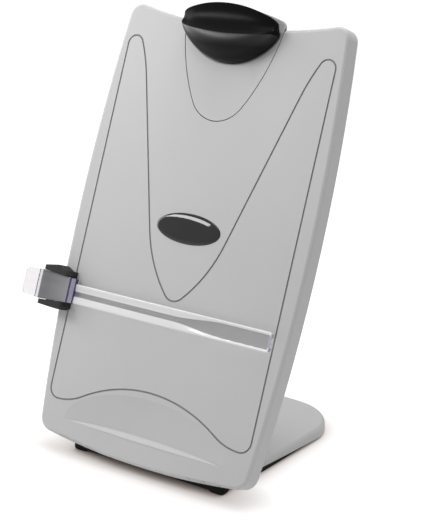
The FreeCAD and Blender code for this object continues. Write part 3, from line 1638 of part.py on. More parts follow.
base_shell()
base_plate()
foot("front_foot_left", lambda drawing: foot_box(drawing, -1, 0))
foot("front_foot_right", lambda drawing: foot_box(drawing, 1, 0))
foot("rear_foot", rear_box)
screws(
    "base_screws",
    both_sides(SHELL_SCREWS),
    d.plate_low + d.screw_head_high,
    True,
    on_board=False,
    long=d.plate_thick - d.screw_head_high + d.shell_pilot - 0.5,
)
hinge_axle()
ring_pair(
    "friction_washers",
    d.axle_radius + d.axle_play,
    d.lug_radius,
    d.knuckle_half + d.washer_play,
    d.washer_thick,
)
ring_pair(
    "axle_caps",
    d.axle_radius + d.axle_play / 2,
    d.axle_cap_radius,
    d.knuckle_half + d.washer_thick + d.washer_play * 2 + d.lug_thick + 0.3,
    d.axle_cap,
)
front_panel()
back_cover()
screws(
    "panel_screws",
    both_sides(BOARD_SCREWS),
    d.screw_head_high - d.board_thick,
    True,
)
hinge_bracket()
screws(
    "bracket_screws",
    both_sides(BRACKET_SCREWS),
    -d.board_thick - d.bracket_thick,
    True,
    long=d.bracket_thick + d.cover_wall - 0.2,
)
clip_seat()
screws(
    "seat_screws",
    both_sides(SEAT_SCREWS),
    d.screw_head_high - d.board_thick,
    True,
)
clip_pin()
clip_lever()
clip_grip()
coil(
    "clip_spring",
    Vector(0, d.clip_pin_up.value, d.clip_pin_out.value),
    Vector(1, 0, 0),
    d.pin_radius.value + 0.15,
    0.6,
    8,
)
badge()
slide_rail()
line_guide()
slider_body()
slider_jaw()
guide_pin()
screws(
    "slider_screws",
    [(d.slider_wall / 2 - slider_outer(), up) for up in slider_screw_ups()],
    -d.board_thick - d.slider_play - d.jaw_thick + d.screw_head_high,
    True,
    long=d.slider_screw_long,
)
GUIDE_PIN_IN = slider_outer() - d.pin_inset
SPRING_UP = d.guide_up + block_rise(GUIDE_PIN_IN) - SPRING_LONG / 2 - 0.4
coil(
    "guide_spring",
    Vector(-GUIDE_PIN_IN.value, SPRING_UP.value, d.guide_pin_out.value),
    Vector(0, 1, 0),
    d.pin_radius.value + 0.15,
    0.5,
    4,
)

doc.recompute()
for obj in doc.Objects:
    if "Invalid" in obj.State or "Error" in obj.State:
        raise RuntimeError(f"{obj.Label} failed: {obj.State}")
os.makedirs("parts", exist_ok=True)
for obj in SUB_PARTS:
    if obj.Shape.isNull() or not obj.Shape.isValid():
        raise RuntimeError(f"{obj.Label} has no valid shape")
    obj.Shape.exportStep(f"parts/{obj.Label}.step")
    print(f"{obj.Label}: {len(obj.Shape.Solids)} solid(s), {obj.Shape.Volume:.0f} mm3")
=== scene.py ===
import json
import math

import bmesh
import bpy
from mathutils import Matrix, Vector

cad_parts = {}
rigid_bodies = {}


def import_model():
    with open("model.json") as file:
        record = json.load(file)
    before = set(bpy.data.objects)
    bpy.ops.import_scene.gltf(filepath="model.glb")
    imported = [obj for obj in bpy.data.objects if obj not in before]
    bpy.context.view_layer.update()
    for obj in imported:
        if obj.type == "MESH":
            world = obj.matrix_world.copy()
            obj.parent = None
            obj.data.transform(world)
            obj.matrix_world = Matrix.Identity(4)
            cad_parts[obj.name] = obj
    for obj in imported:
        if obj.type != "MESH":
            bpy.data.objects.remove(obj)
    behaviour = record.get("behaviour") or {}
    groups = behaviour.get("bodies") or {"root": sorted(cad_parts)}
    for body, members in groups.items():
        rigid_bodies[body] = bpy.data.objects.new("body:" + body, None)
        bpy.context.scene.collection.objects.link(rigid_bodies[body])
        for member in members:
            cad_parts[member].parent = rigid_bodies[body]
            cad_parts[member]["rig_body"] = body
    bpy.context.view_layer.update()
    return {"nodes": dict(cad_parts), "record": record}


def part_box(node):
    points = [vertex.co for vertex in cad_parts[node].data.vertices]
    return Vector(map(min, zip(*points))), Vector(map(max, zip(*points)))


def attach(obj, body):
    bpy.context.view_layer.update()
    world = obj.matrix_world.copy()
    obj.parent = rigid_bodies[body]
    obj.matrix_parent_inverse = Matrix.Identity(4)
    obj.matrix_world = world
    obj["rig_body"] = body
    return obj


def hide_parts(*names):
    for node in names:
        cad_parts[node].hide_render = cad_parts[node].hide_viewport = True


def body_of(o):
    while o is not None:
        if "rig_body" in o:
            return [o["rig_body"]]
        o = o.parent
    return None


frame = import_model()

NODES = frame["nodes"]
RECORD = frame["record"]

# The board's own frame: its foot, the way up its face and the way out of it.
LEAN = math.radians(22)
BOARD_FOOT = Vector((0.0, -0.185, 0.021))
UP = Vector((0.0, math.sin(LEAN), math.cos(LEAN)))
OUT = Vector((0.0, -math.cos(LEAN), math.sin(LEAN)))
MM = 0.001

# Corners within the weld reach become one, and edges over the crease, in degrees, stay sharp.
WELD_REACH = 0.000002
CUT_REACH = 1e-7
CREASE = 32


def on_board(across, up, out):
    """A point given in mm across the board, up it and out of its face."""
    return BOARD_FOOT + Vector((across, 0, 0)) * MM + UP * (up * MM) + OUT * (out * MM)


def board_place(point):
    """The same three measures, in mm, of a point in the room."""
    gap = point - BOARD_FOOT
    return gap.x / MM, gap.dot(UP) / MM, gap.dot(OUT) / MM

# ---------------------------------------------------------------- shader groups


def new_group(name, inputs, outputs):
    """An empty shader group with named inputs and outputs, and its two end nodes."""
    group = bpy.data.node_groups.new(name, "ShaderNodeTree")
    for label, kind, value in inputs:
        made = group.interface.new_socket(name=label, in_out="INPUT", socket_type=kind)
        if value is not None:
            made.default_value = value
    for label, kind in outputs:
        group.interface.new_socket(name=label, in_out="OUTPUT", socket_type=kind)
    start = group.nodes.new("NodeGroupInput")
    end = group.nodes.new("NodeGroupOutput")
    return group, start, end


def math_node(tree, kind, first, second=None, clamp=False):
    node = tree.nodes.new("ShaderNodeMath")
    node.operation = kind
    node.use_clamp = clamp
    for socket, value in zip(node.inputs, (first, second)):
        if value is None:
            continue
        if isinstance(value, (int, float)):
            socket.default_value = value
        else:
            tree.links.new(value, socket)
    return node.outputs[0]


def build_moulded_skin():
    """Sparked mould texture: a fine height, and a slow drift of tone over the surface."""
    group, start, end = new_group(
        "moulded_skin",
        [
            ("Grain", "NodeSocketFloat", 1600.0),
            ("Drift", "NodeSocketFloat", 9.0),
            ("Spread", "NodeSocketFloat", 0.5),
        ],
        [
            ("Height", "NodeSocketFloat"),
            ("Tone", "NodeSocketFloat"),
            ("Polish", "NodeSocketFloat"),
        ],
    )
    place = group.nodes.new("ShaderNodeTexCoord")
    grain = group.nodes.new("ShaderNodeTexNoise")
    grain.inputs["Detail"].default_value = 3.0
    grain.inputs["Roughness"].default_value = 0.6
    pits = group.nodes.new("ShaderNodeTexVoronoi")
    drift = group.nodes.new("ShaderNodeTexNoise")
    drift.inputs["Detail"].default_value = 4.0
    for node in (grain, pits, drift):
        group.links.new(place.outputs["Object"], node.inputs["Vector"])
    group.links.new(start.outputs["Grain"], grain.inputs["Scale"])
    group.links.new(start.outputs["Grain"], pits.inputs["Scale"])
    group.links.new(start.outputs["Drift"], drift.inputs["Scale"])
    height = math_node(group, "ADD", grain.outputs["Fac"], pits.outputs["Distance"])
    group.links.new(height, end.inputs["Height"])
    centred = math_node(group, "SUBTRACT", drift.outputs["Fac"], 0.5)
    spread = math_node(group, "MULTIPLY", centred, start.outputs["Spread"])
    tone = math_node(group, "ADD", spread, 0.5, clamp=True)
    group.links.new(tone, end.inputs["Tone"])
    rub = math_node(group, "MULTIPLY", pits.outputs["Distance"], 0.4)
    polish = math_node(group, "ADD", tone, rub, clamp=True)
    group.links.new(polish, end.inputs["Polish"])
    return group


def build_dust():
    """A mask of settled dust: strongest on faces that look up, broken by fine specks."""
    group, start, end = new_group(
        "settled_dust",
        [("Amount", "NodeSocketFloat", 0.3), ("Specks", "NodeSocketFloat", 700.0)],
        [("Mask", "NodeSocketFloat")],
    )
    shape = group.nodes.new("ShaderNodeNewGeometry")
    split = group.nodes.new("ShaderNodeSeparateXYZ")
    group.links.new(shape.outputs["Normal"], split.inputs[0])
    up = math_node(group, "POWER", math_node(group, "MAXIMUM", split.outputs["Z"], 0.0), 3.0)
    place = group.nodes.new("ShaderNodeTexCoord")
    specks = group.nodes.new("ShaderNodeTexNoise")
    specks.inputs["Detail"].default_value = 6.0
    group.links.new(place.outputs["Object"], specks.inputs["Vector"])
    group.links.new(start.outputs["Specks"], specks.inputs["Scale"])
    patch = math_node(group, "MULTIPLY", up, specks.outputs["Fac"])
    mask = math_node(group, "MULTIPLY", patch, start.outputs["Amount"], clamp=True)
    group.links.new(mask, end.inputs["Mask"])
    return group


def build_painted_shade(name, alone):
    """A mask of painted shade in grooves, from occlusion: a moulding's own, or those between
    two.
    """
    group, start, end = new_group(
        name,
        [
            ("Reach", "NodeSocketFloat", 0.0015),
            ("Floor", "NodeSocketFloat", 0.5),
            ("Open", "NodeSocketFloat", 0.9),
        ],
        [("Mask", "NodeSocketFloat")],
    )
    hollow = group.nodes.new("ShaderNodeAmbientOcclusion")
    hollow.samples = 10
    hollow.only_local = alone
    group.links.new(start.outputs["Reach"], hollow.inputs["Distance"])
    span = group.nodes.new("ShaderNodeMapRange")
    span.inputs["To Min"].default_value = 1.0
    span.inputs["To Max"].default_value = 0.0
    group.links.new(hollow.outputs["AO"], span.inputs["Value"])
    group.links.new(start.outputs["Floor"], span.inputs["From Min"])
    group.links.new(start.outputs["Open"], span.inputs["From Max"])
    group.links.new(span.outputs["Result"], end.inputs["Mask"])
    return group


SKIN = build_moulded_skin()
DUST = build_dust()
GROOVE_SHADE = build_painted_shade("groove_painted_shade", True)
SEAM_SHADE = build_painted_shade("seam_painted_shade", False)

# ---------------------------------------------------------------- materials


def material(name):
    mat = bpy.data.materials.new(name)
    mat.use_nodes = True
    return mat, mat.node_tree, mat.node_tree.nodes["Principled BSDF"]


def place_group(tree, group, **values):
    node = tree.nodes.new("ShaderNodeGroup")
    node.node_tree = group
    for label, value in values.items():
        node.inputs[label].default_value = value
    return node


def ramp(tree, factor, stops):
    node = tree.nodes.new("ShaderNodeValToRGB")
    while len(node.color_ramp.elements) < len(stops):
        node.color_ramp.elements.new(0.5)
    for element, (at, color) in zip(node.color_ramp.elements, stops):
        element.position = at
        element.color = (*color, 1.0)
    tree.links.new(factor, node.inputs["Fac"])
    return node.outputs["Color"]


def map_range(tree, value, low, high):
    node = tree.nodes.new("ShaderNodeMapRange")
    node.inputs["To Min"].default_value = low
    node.inputs["To Max"].default_value = high
    tree.links.new(value, node.inputs["Value"])
    return node.outputs["Result"]


def mix_color(tree, factor, first, second):
    node = tree.nodes.new("ShaderNodeMix")
    node.data_type = "RGBA"
    tree.links.new(factor, node.inputs["Factor"])
    for socket, value in ((node.inputs["A"], first), (node.inputs["B"], second)):
        if isinstance(value, tuple):
            socket.default_value = (*value, 1.0)
        else:
            tree.links.new(value, socket)
    return node.outputs["Result"]


def bump(tree, height, distance, strength=1.0):
    node = tree.nodes.new("ShaderNodeBump")
    node.inputs["Distance"].default_value = distance
    node.inputs["Strength"].default_value = strength
    tree.links.new(height, node.inputs["Height"])
    return node.outputs["Normal"]


def object_place(tree):
    return tree.nodes.new("ShaderNodeTexCoord").outputs["Object"]


def axis_of(tree, place, axis):
    split = tree.nodes.new("ShaderNodeSeparateXYZ")
    tree.links.new(place, split.inputs[0])
    return split.outputs[axis]


def seen_directly(tree):
    """One for what the eye sees, also in a reflection or through clear plastic, else zero."""
    path = tree.nodes.new("ShaderNodeLightPath").outputs
    seen = math_node(tree, "MAXIMUM", path["Is Camera Ray"], path["Is Glossy Ray"])
    return math_node(tree, "MAXIMUM", seen, path["Is Transmission Ray"])


def mix_shaders(tree, factor, first, second, end):
    """Sends a mix of two shaders to the tree's end."""
    both = tree.nodes.new("ShaderNodeMixShader")
    tree.links.new(factor, both.inputs["Fac"])
    tree.links.new(first.outputs[0], both.inputs[1])
    tree.links.new(second.outputs[0], both.inputs[2])
    tree.links.new(both.outputs[0], end.inputs["Surface"])


def shader_of(mat):
    return mat.node_tree.nodes["Principled BSDF"]


def moulded_plastic(name, dark, light, rough, grain, relief, dust, dust_color, painted_shade=None):
    """Moulded plastic: two close tones, a fine sparked grain, a little dust, and, if given,
    painted shade in its grooves.
    """
    mat, tree, shader = material(name)
    skin = place_group(tree, SKIN, Grain=grain, Drift=9.0, Spread=0.9)
    film = place_group(tree, DUST, Amount=dust, Specks=700.0)
    body = ramp(tree, skin.outputs["Tone"], [(0.3, dark), (0.7, light)])
    body = mix_color(tree, film.outputs["Mask"], body, dust_color)
    if painted_shade:
        # Occlusion darkens the body's colour in hollows: painted shade.
        seam = place_group(tree, painted_shade[0], Reach=painted_shade[1], Floor=painted_shade[2], Open=painted_shade[3])
        body = mix_color(tree, seam.outputs["Mask"], body, painted_shade[4])
    tree.links.new(body, shader.inputs["Base Color"])
    tree.links.new(
        map_range(tree, skin.outputs["Polish"], rough[0], rough[1]), shader.inputs["Roughness"]
    )
    tree.links.new(bump(tree, skin.outputs["Height"], relief), shader.inputs["Normal"])
    return mat


def let_lamps_through(mat):
    """Lamp light passes through clear plastic to what lies behind it."""
    tree = mat.node_tree
    path = tree.nodes.new("ShaderNodeLightPath")
    clear = tree.nodes.new("ShaderNodeBsdfTransparent")
    clear.inputs["Color"].default_value = (0.86, 0.86, 0.87, 1.0)
    end = tree.nodes["Material Output"]
    mix_shaders(tree, path.outputs["Is Shadow Ray"], shader_of(mat), clear, end)


def moulded_acrylic(name, first, second, rough, passes):
    """Clear moulded acrylic with faint flow lines along its length."""
    mat, tree, shader = material(name)
    stretch = tree.nodes.new("ShaderNodeMapping")
    stretch.inputs["Scale"].default_value = (4.0, 90.0, 90.0)
    flow = tree.nodes.new("ShaderNodeTexNoise")
    flow.inputs["Scale"].default_value = 3.0
    tree.links.new(object_place(tree), stretch.inputs["Vector"])
    tree.links.new(stretch.outputs["Vector"], flow.inputs["Vector"])
    tone = ramp(tree, flow.outputs["Fac"], [(0.3, first), (0.7, second)])
    tree.links.new(tone, shader.inputs["Base Color"])
    tree.links.new(map_range(tree, flow.outputs["Fac"], *rough), shader.inputs["Roughness"])
    tree.links.new(bump(tree, flow.outputs["Fac"], 0.00004), shader.inputs["Normal"])
    shader.inputs["IOR"].default_value = 1.49
    shader.inputs["Transmission Weight"].default_value = passes
    let_lamps_through(mat)
    return mat


def turned_steel():
    """Plain steel with fine turning lines."""
    mat, tree, shader = material("turned_steel")
    lines = tree.nodes.new("ShaderNodeTexNoise")
    lines.inputs["Scale"].default_value = 900.0
    tree.links.new(object_place(tree), lines.inputs["Vector"])
    stops = [(0.35, (0.42, 0.42, 0.43)), (0.65, (0.58, 0.58, 0.59))]
    tree.links.new(ramp(tree, lines.outputs["Fac"], stops), shader.inputs["Base Color"])
    tree.links.new(map_range(tree, lines.outputs["Fac"], 0.22, 0.4), shader.inputs["Roughness"])
    tree.links.new(bump(tree, lines.outputs["Fac"], 0.00002), shader.inputs["Normal"])
    shader.inputs["Metallic"].default_value = 1.0
    return mat


def moulded_grey(name, *painted_shade):
    """The one grey of the mouldings, with its own painted shade in hollows: group, reach, floor,
    open, colour.
    """
    return moulded_plastic(
        name, (0.495, 0.495, 0.495), (0.52, 0.52, 0.52), (0.4, 0.52),
        1500.0, 0.000012, 0.05, (0.62, 0.61, 0.59), painted_shade,
    )


# Both greys darken by occlusion: painted shade in the panel's grooves, and near black painted
# shade in the seam round the clip's seat.
GREY = moulded_grey("grey_plastic", GROOVE_SHADE, 0.0021, 0.6, 0.97, (0.13, 0.13, 0.13))
GREY_SEAT = moulded_grey("grey_seat", SEAM_SHADE, 0.003, 0.7, 0.98, (0.02, 0.02, 0.02))
BASE_BLACK = moulded_plastic(
    "black_base", (0.008, 0.008, 0.008), (0.014, 0.014, 0.014), (0.5, 0.7),
    1200.0, 0.00002, 0.03, (0.1, 0.09, 0.08),
)
CLIP_BLACK = moulded_plastic(
    "black_plastic", (0.003, 0.003, 0.003), (0.005, 0.005, 0.005), (0.22, 0.3),
    1400.0, 0.000008, 0.01, (0.1, 0.1, 0.1),
)
SLIDER_BLACK = moulded_plastic(
    "slider_black", (0.015, 0.015, 0.016), (0.022, 0.022, 0.023), (0.4, 0.52),
    1400.0, 0.000012, 0.02, (0.1, 0.1, 0.1),
)
BADGE_BLACK = moulded_plastic(
    "badge_gloss", (0.006, 0.006, 0.006), (0.01, 0.01, 0.01), (0.03, 0.06),
    500.0, 0.000002, 0.01, (0.1, 0.1, 0.1),
)
RUBBER = moulded_plastic(
    "black_rubber", (0.012, 0.012, 0.012), (0.02, 0.02, 0.02), (0.7, 0.9),
    900.0, 0.00004, 0.05, (0.12, 0.11, 0.1),
)
NYLON = moulded_plastic(
    "nylon", (0.62, 0.62, 0.6), (0.68, 0.68, 0.66), (0.4, 0.55),
    800.0, 0.00001, 0.05, (0.6, 0.6, 0.6),
)
STEEL = turned_steel()
CLEAR = moulded_acrylic(
    "clear_acrylic", (0.6, 0.6, 0.605), (0.66, 0.66, 0.665), (0.02, 0.08), 1.0
)
# A pale, nearly opaque acrylic: painted highlight along the guide's rims and edges.
RIM_HIGHLIGHT = moulded_acrylic(
    "painted_highlight_rim", (0.78, 0.775, 0.775), (0.84, 0.835, 0.835), (0.12, 0.22), 0.12
)
TAB_CLEAR = moulded_acrylic(
    "tab_clear", (0.72, 0.7, 0.715), (0.77, 0.75, 0.765), (0.02, 0.08), 1.0
)
SMOKY = moulded_acrylic(
    "satin_block", (0.15, 0.15, 0.158), (0.18, 0.18, 0.188), (0.2, 0.3), 0.1
)
LAVENDER = moulded_acrylic(
    "lavender_edge", (0.36, 0.34, 0.47), (0.42, 0.4, 0.53), (0.1, 0.2), 0.15
)
NAVY = moulded_acrylic(
    "navy_edge", (0.035, 0.03, 0.085), (0.05, 0.045, 0.12), (0.1, 0.2), 0.2
)
for black, level in ((BASE_BLACK, 0.1), (SLIDER_BLACK, 0.2), (RUBBER, 0.1)):
    shader_of(black).inputs["Specular IOR Level"].default_value = level

# The clip's lip on the board, in mm, and its sheen: at the lip, per mm below it, and least.
LIP_UP, LIP_RISE, LIP_MARGIN, CLIP_HALF = 359.8, 3.5, 0.5, 39.0
SHEEN_LIP, SHEEN_FADE, SHEEN_LEAST, SHEEN_DISH = 0.48, -0.034, 0.12, 0.05
CLIP_ROUGH = (0.27, 0.36)


def polish_belly(mat):
    """The clip is matt in its thumb dish and glossier on its belly, below the lip."""
    tree = mat.node_tree
    shader = shader_of(mat)
    place = object_place(tree)
    height = tree.nodes.new("ShaderNodeVectorMath")
    height.operation = "DOT_PRODUCT"
    height.inputs[1].default_value = UP / MM
    tree.links.new(place, height.inputs[0])
    share = math_node(tree, "MULTIPLY", axis_of(tree, place, "X"), 1 / (CLIP_HALF * MM))
    rise = math_node(tree, "MULTIPLY", math_node(tree, "POWER", share, 2.0), LIP_RISE)
    lip = math_node(tree, "ADD", rise, BOARD_FOOT.dot(UP) / MM + LIP_UP + LIP_MARGIN)
    below = math_node(tree, "SUBTRACT", lip, height.outputs["Value"])
    belly = math_node(tree, "MULTIPLY", below, 1.0, clamp=True)
    worn = math_node(tree, "MULTIPLY", below, SHEEN_FADE)
    shine = math_node(tree, "MAXIMUM", math_node(tree, "ADD", worn, SHEEN_LIP), SHEEN_LEAST)
    level = math_node(tree, "MAXIMUM", math_node(tree, "MULTIPLY", belly, shine), SHEEN_DISH)
    tree.links.new(level, shader.inputs["Specular IOR Level"])
    tree.links.new(map_range(tree, belly, *CLIP_ROUGH), shader.inputs["Roughness"])


def pale_inward(mat, start, width, pale):
    """Cloudy acrylic that pales across the board, from one place on over a width in mm."""
    tree = mat.node_tree
    base = shader_of(mat).inputs["Base Color"]
    body = base.links[0].from_socket
    along = math_node(tree, "SUBTRACT", axis_of(tree, object_place(tree), "X"), start * MM)
    share = math_node(tree, "DIVIDE", along, width * MM, clamp=True)
    tree.links.new(mix_color(tree, share, body, pale), base)


def painted_glow(mat, color, strength):
    """A painted glow: a faint light of its own, as clear plastic gathers at an edge."""
    shader = shader_of(mat)
    shader.inputs["Emission Color"].default_value = (*color, 1.0)
    shader.inputs["Emission Strength"].default_value = strength


polish_belly(CLIP_BLACK)
pale_inward(SMOKY, -128.0, 24.0, (0.28, 0.28, 0.29))
painted_glow(LAVENDER, (0.6, 0.57, 0.8), 0.05)

FINISHES = {
    "grey_plastic": GREY,
    "black_base": BASE_BLACK,
    "black_plastic": CLIP_BLACK,
    "badge_gloss": BADGE_BLACK,
    "black_rubber": RUBBER,
    "nylon": NYLON,
    "steel": STEEL,
    "clear_acrylic": CLEAR,
}


def slot_of(node):
    """The name of the finish that the record gives a CAD node."""
    for row in RECORD["subparts"]:
        if row["node"] == node:
            return row["material_slot"]
    raise KeyError(node)


for name, obj in NODES.items():
    obj.data.materials.clear()
    obj.data.materials.append(FINISHES[slot_of(name)])

# ---------------------------------------------------------------- making pieces


def piece(name, mesh, node, *finishes):
    """A finished piece that stands for a CAD node and moves with it."""
    obj = bpy.data.objects.new(name, mesh)
    bpy.context.scene.collection.objects.link(obj)
    if not mesh.materials:
        for finish in finishes or (FINISHES[slot_of(node)],):
            mesh.materials.append(finish)
    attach(obj, body_of(NODES[node])[0])
    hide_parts(node)
    return obj


def welded(node):
    """A CAD node's own shape with its loose corners joined."""
    work = bmesh.new()
    work.from_mesh(NODES[node].data)
    bmesh.ops.remove_doubles(work, verts=work.verts, dist=WELD_REACH)
    return work


def merged(node):
    """A CAD node's own shape as one clean mesh: loose corners joined, flats made whole."""
    work = welded(node)
    bmesh.ops.dissolve_limit(
        work, angle_limit=math.radians(0.4), verts=work.verts, edges=work.edges
    )
    return work


def smoothed(mesh, crease=CREASE):
    mesh.shade_smooth()
    mesh.set_sharp_from_angle(angle=math.radians(crease))


def as_mesh(work, name, crease=CREASE):
    mesh = bpy.data.meshes.new(name)
    work.to_mesh(mesh)
    work.free()
    smoothed(mesh, crease)
    return mesh


def loft(work, sections):
    """Skins a run of closed sections, and gives their rows of corners and the side faces."""
    rows = [[work.verts.new(point) for point in section] for section in sections]
    faces = []
    for row, following in zip(rows, rows[1:]):
        for number in range(len(row)):
            after = (number + 1) % len(row)
            corners = (row[number], row[after], following[after], following[number])
            faces.append(work.faces.new(corners))
    return rows, faces


def break_edges(obj, width, angle, **settings):
    """A small round on every edge over an angle in degrees."""
    edge = obj.modifiers.new("edge", "BEVEL")
    edge.width = width
    edge.segments = 2
    edge.limit_method = "ANGLE"
    edge.angle_limit = math.radians(angle)
    for key, value in settings.items():
        setattr(edge, key, value)


def rounded(node, width, *finishes, clamp=True):
    """A CAD node with every sharp edge broken by a small moulded round."""
    name = node + "_moulded"
    obj = piece(name, as_mesh(merged(node), name), node, *finishes)
    break_edges(obj, width, CREASE, harden_normals=True, use_clamp_overlap=clamp)


rounded("slider_body", 0.0005, SLIDER_BLACK)
rounded("slider_jaw", 0.0004, SLIDER_BLACK)
rounded("hinge_bracket", 0.0004)
rounded("slide_rail", 0.0003)
rounded("clip_grip", 0.0003)
# The seat's grey takes near black painted shade in the seam round it.
rounded("clip_seat", 0.0007, GREY_SEAT, clamp=False)


# ---------------------------------------------------------------- screws and springs


class Tree:
    """A Geometry Nodes tree with named inputs, filled in node by node."""

    def __init__(self, name, inputs):
        self.group = bpy.data.node_groups.new(name, "GeometryNodeTree")
        face = self.group.interface
        face.new_socket(name="Geometry", in_out="INPUT", socket_type="NodeSocketGeometry")
        self.sockets = {}
        for label, kind, value in inputs:
            made = face.new_socket(name=label, in_out="INPUT", socket_type=kind)
            made.default_value = value
            self.sockets[label] = made.identifier
        face.new_socket(name="Geometry", in_out="OUTPUT", socket_type="NodeSocketGeometry")
        self.start = self.group.nodes.new("NodeGroupInput")
        self.end = self.group.nodes.new("NodeGroupOutput")

    def given(self, label):
        return self.start.outputs[label]

    def link(self, source, target):
        self.group.links.new(source, target)

    def add(self, kind, inputs=None, **settings):
        node = self.group.nodes.new(kind)
        for key, value in settings.items():
            setattr(node, key, value)
        for key, value in (inputs or {}).items():
            if isinstance(value, bpy.types.NodeSocket):
                self.link(value, node.inputs[key])
            else:
                node.inputs[key].default_value = value
        return node

    def math(self, kind, first, second):
        return self.add("ShaderNodeMath", {0: first, 1: second}, operation=kind).outputs[0]

    def finish(self, geometry, finish):
        real = self.add("GeometryNodeRealizeInstances", {"Geometry": geometry})
        skin = self.add("GeometryNodeSetMaterial", {"Geometry": real.outputs[0]})
        skin.inputs["Material"].default_value = finish
        self.link(skin.outputs[0], self.end.inputs[0])
        return self


def grown(tree, host, node, name, values):
    """Runs a tree on a host mesh and keeps the result as a plain piece."""
    base = bpy.data.objects.new(name + "_host", host)
    bpy.context.scene.collection.objects.link(base)
    run = base.modifiers.new("grow", "NODES")
    run.node_group = tree.group
    for label, value in values.items():
        run[tree.sockets[label]] = value
    shown = base.evaluated_get(bpy.context.evaluated_depsgraph_get())
    mesh = bpy.data.meshes.new_from_object(shown)
    mesh.name = name
    bpy.data.objects.remove(base)
    piece(name, mesh, node)
    smoothed(mesh)


SCREW_HEAD, SCREW_RISE, SCREW_SHANK = 0.0028, 0.0018, 0.0015


def screw_tree():
    """Cross-recessed pan head screws, one at each point of the host, turned at random."""
    tree = Tree(
        "cross_screws",
        [
            ("Axis", "NodeSocketVector", (0.0, 0.0, 1.0)),
            ("Head", "NodeSocketFloat", SCREW_HEAD),
            ("Rise", "NodeSocketFloat", SCREW_RISE),
            ("Shank", "NodeSocketFloat", SCREW_SHANK),
            ("Length", "NodeSocketFloat", 0.009),
            ("Seed", "NodeSocketInt", 3),
        ],
    )
    dome = tree.add(
        "GeometryNodeMeshUVSphere", {"Segments": 32, "Rings": 16, "Radius": 1.0}
    )
    size = tree.add(
        "ShaderNodeCombineXYZ",
        {"X": tree.given("Head"), "Y": tree.given("Head"), "Z": tree.given("Rise")},
    )
    pan = tree.add(
        "GeometryNodeTransform", {"Geometry": dome.outputs["Mesh"], "Scale": size.outputs[0]}
    )
    cutters = tree.add("GeometryNodeJoinGeometry")
    low = tree.math("MULTIPLY", tree.given("Head"), -2.5)
    below = tree.add("ShaderNodeCombineXYZ", {"Z": low})
    wide = tree.math("MULTIPLY", tree.given("Head"), 5.0)
    block = tree.add("ShaderNodeCombineXYZ", {"X": wide, "Y": wide, "Z": wide})
    under = tree.add("GeometryNodeMeshCube", {"Size": block.outputs[0]})
    sunk = tree.add(
        "GeometryNodeTransform",
        {"Geometry": under.outputs["Mesh"], "Translation": below.outputs[0]},
    )
    tree.link(sunk.outputs[0], cutters.inputs[0])
    slot = tree.math("MULTIPLY", tree.given("Head"), 0.3)
    reach = tree.math("MULTIPLY", tree.given("Head"), 1.15)
    above = tree.add("ShaderNodeCombineXYZ", {"Z": tree.given("Rise")})
    for across, along in ((slot, reach), (reach, slot)):
        bar = tree.add(
            "GeometryNodeMeshCube",
            {
                "Size": tree.add(
                    "ShaderNodeCombineXYZ", {"X": across, "Y": along, "Z": tree.given("Rise")}
                ).outputs[0]
            },
        )
        raised = tree.add(
            "GeometryNodeTransform",
            {"Geometry": bar.outputs["Mesh"], "Translation": above.outputs[0]},
        )
        tree.link(raised.outputs[0], cutters.inputs[0])
    cut = tree.add("GeometryNodeMeshBoolean", operation="DIFFERENCE")
    tree.link(pan.outputs[0], cut.inputs["Mesh 1"])
    tree.link(cutters.outputs[0], cut.inputs["Mesh 2"])
    rod = tree.add(
        "GeometryNodeMeshCylinder",
        {"Vertices": 24, "Radius": tree.given("Shank"), "Depth": tree.given("Length")},
    )
    half = tree.math("MULTIPLY", tree.given("Length"), -0.5)
    down = tree.add("ShaderNodeCombineXYZ", {"Z": half})
    shank = tree.add(
        "GeometryNodeTransform",
        {"Geometry": rod.outputs["Mesh"], "Translation": down.outputs[0]},
    )
    whole = tree.add("GeometryNodeJoinGeometry")
    for part in (cut.outputs[0], shank.outputs[0]):
        tree.link(part, whole.inputs[0])
    aim = tree.add("FunctionNodeAlignRotationToVector", {"Vector": tree.given("Axis")}, axis="Z")
    turn = tree.add("FunctionNodeRandomValue", {"Seed": tree.given("Seed")}, data_type="FLOAT")
    turn.inputs[3].default_value = math.tau
    spun = tree.add("ShaderNodeCombineXYZ", {"Z": turn.outputs[1]})
    twist = tree.add("FunctionNodeEulerToRotation", {0: spun.outputs[0]})
    both = tree.add("FunctionNodeRotateRotation", rotation_space="LOCAL")
    tree.link(aim.outputs[0], both.inputs[0])
    tree.link(twist.outputs[0], both.inputs[1])
    points = tree.add("GeometryNodeMeshToPoints", {"Mesh": tree.given("Geometry")})
    placed = tree.add(
        "GeometryNodeInstanceOnPoints",
        {"Points": points.outputs[0], "Instance": whole.outputs[0], "Rotation": both.outputs[0]},
    )
    return tree.finish(placed.outputs[0], STEEL)


def loose_parts(node):
    """The corners of each separate body in a CAD node, in the order of its mesh."""
    work = welded(node)
    met = set()
    parts = []
    for first in work.verts:
        if first in met:
            continue
        met.add(first)
        front = [first]
        found = []
        while front:
            vert = front.pop()
            found.append(vert.co.copy())
            for edge in vert.link_edges:
                other = edge.other_vert(vert)
                if other not in met:
                    met.add(other)
                    front.append(other)
        parts.append(found)
    work.free()
    return parts


def grown_screws(tree, node, axis):
    """Real screws where the CAD node has its plain ones, heads towards the axis."""
    seats = []
    for part in loose_parts(node):
        spans = [point.dot(axis) for point in part]
        long = max(spans) - min(spans) - SCREW_RISE
        edges = [point - axis * point.dot(axis) for point in part]
        centre = Vector(
            [(min(e[i] for e in edges) + max(e[i] for e in edges)) / 2 for i in range(3)]
        )
        seats.append(centre + axis * (max(spans) - SCREW_RISE))
    host = bpy.data.meshes.new(node + "_seats")
    host.from_pydata(seats, [], [])
    values = {
        "Axis": axis, "Head": SCREW_HEAD, "Rise": SCREW_RISE, "Shank": SCREW_SHANK,
        "Length": long, "Seed": len(node),
    }
    grown(tree, host, node, node + "_cross_head", values)


SCREWS = screw_tree()
for name in ("panel_screws", "bracket_screws", "seat_screws", "slider_screws"):
    grown_screws(SCREWS, name, -OUT)
grown_screws(SCREWS, "base_screws", Vector((0, 0, -1)))


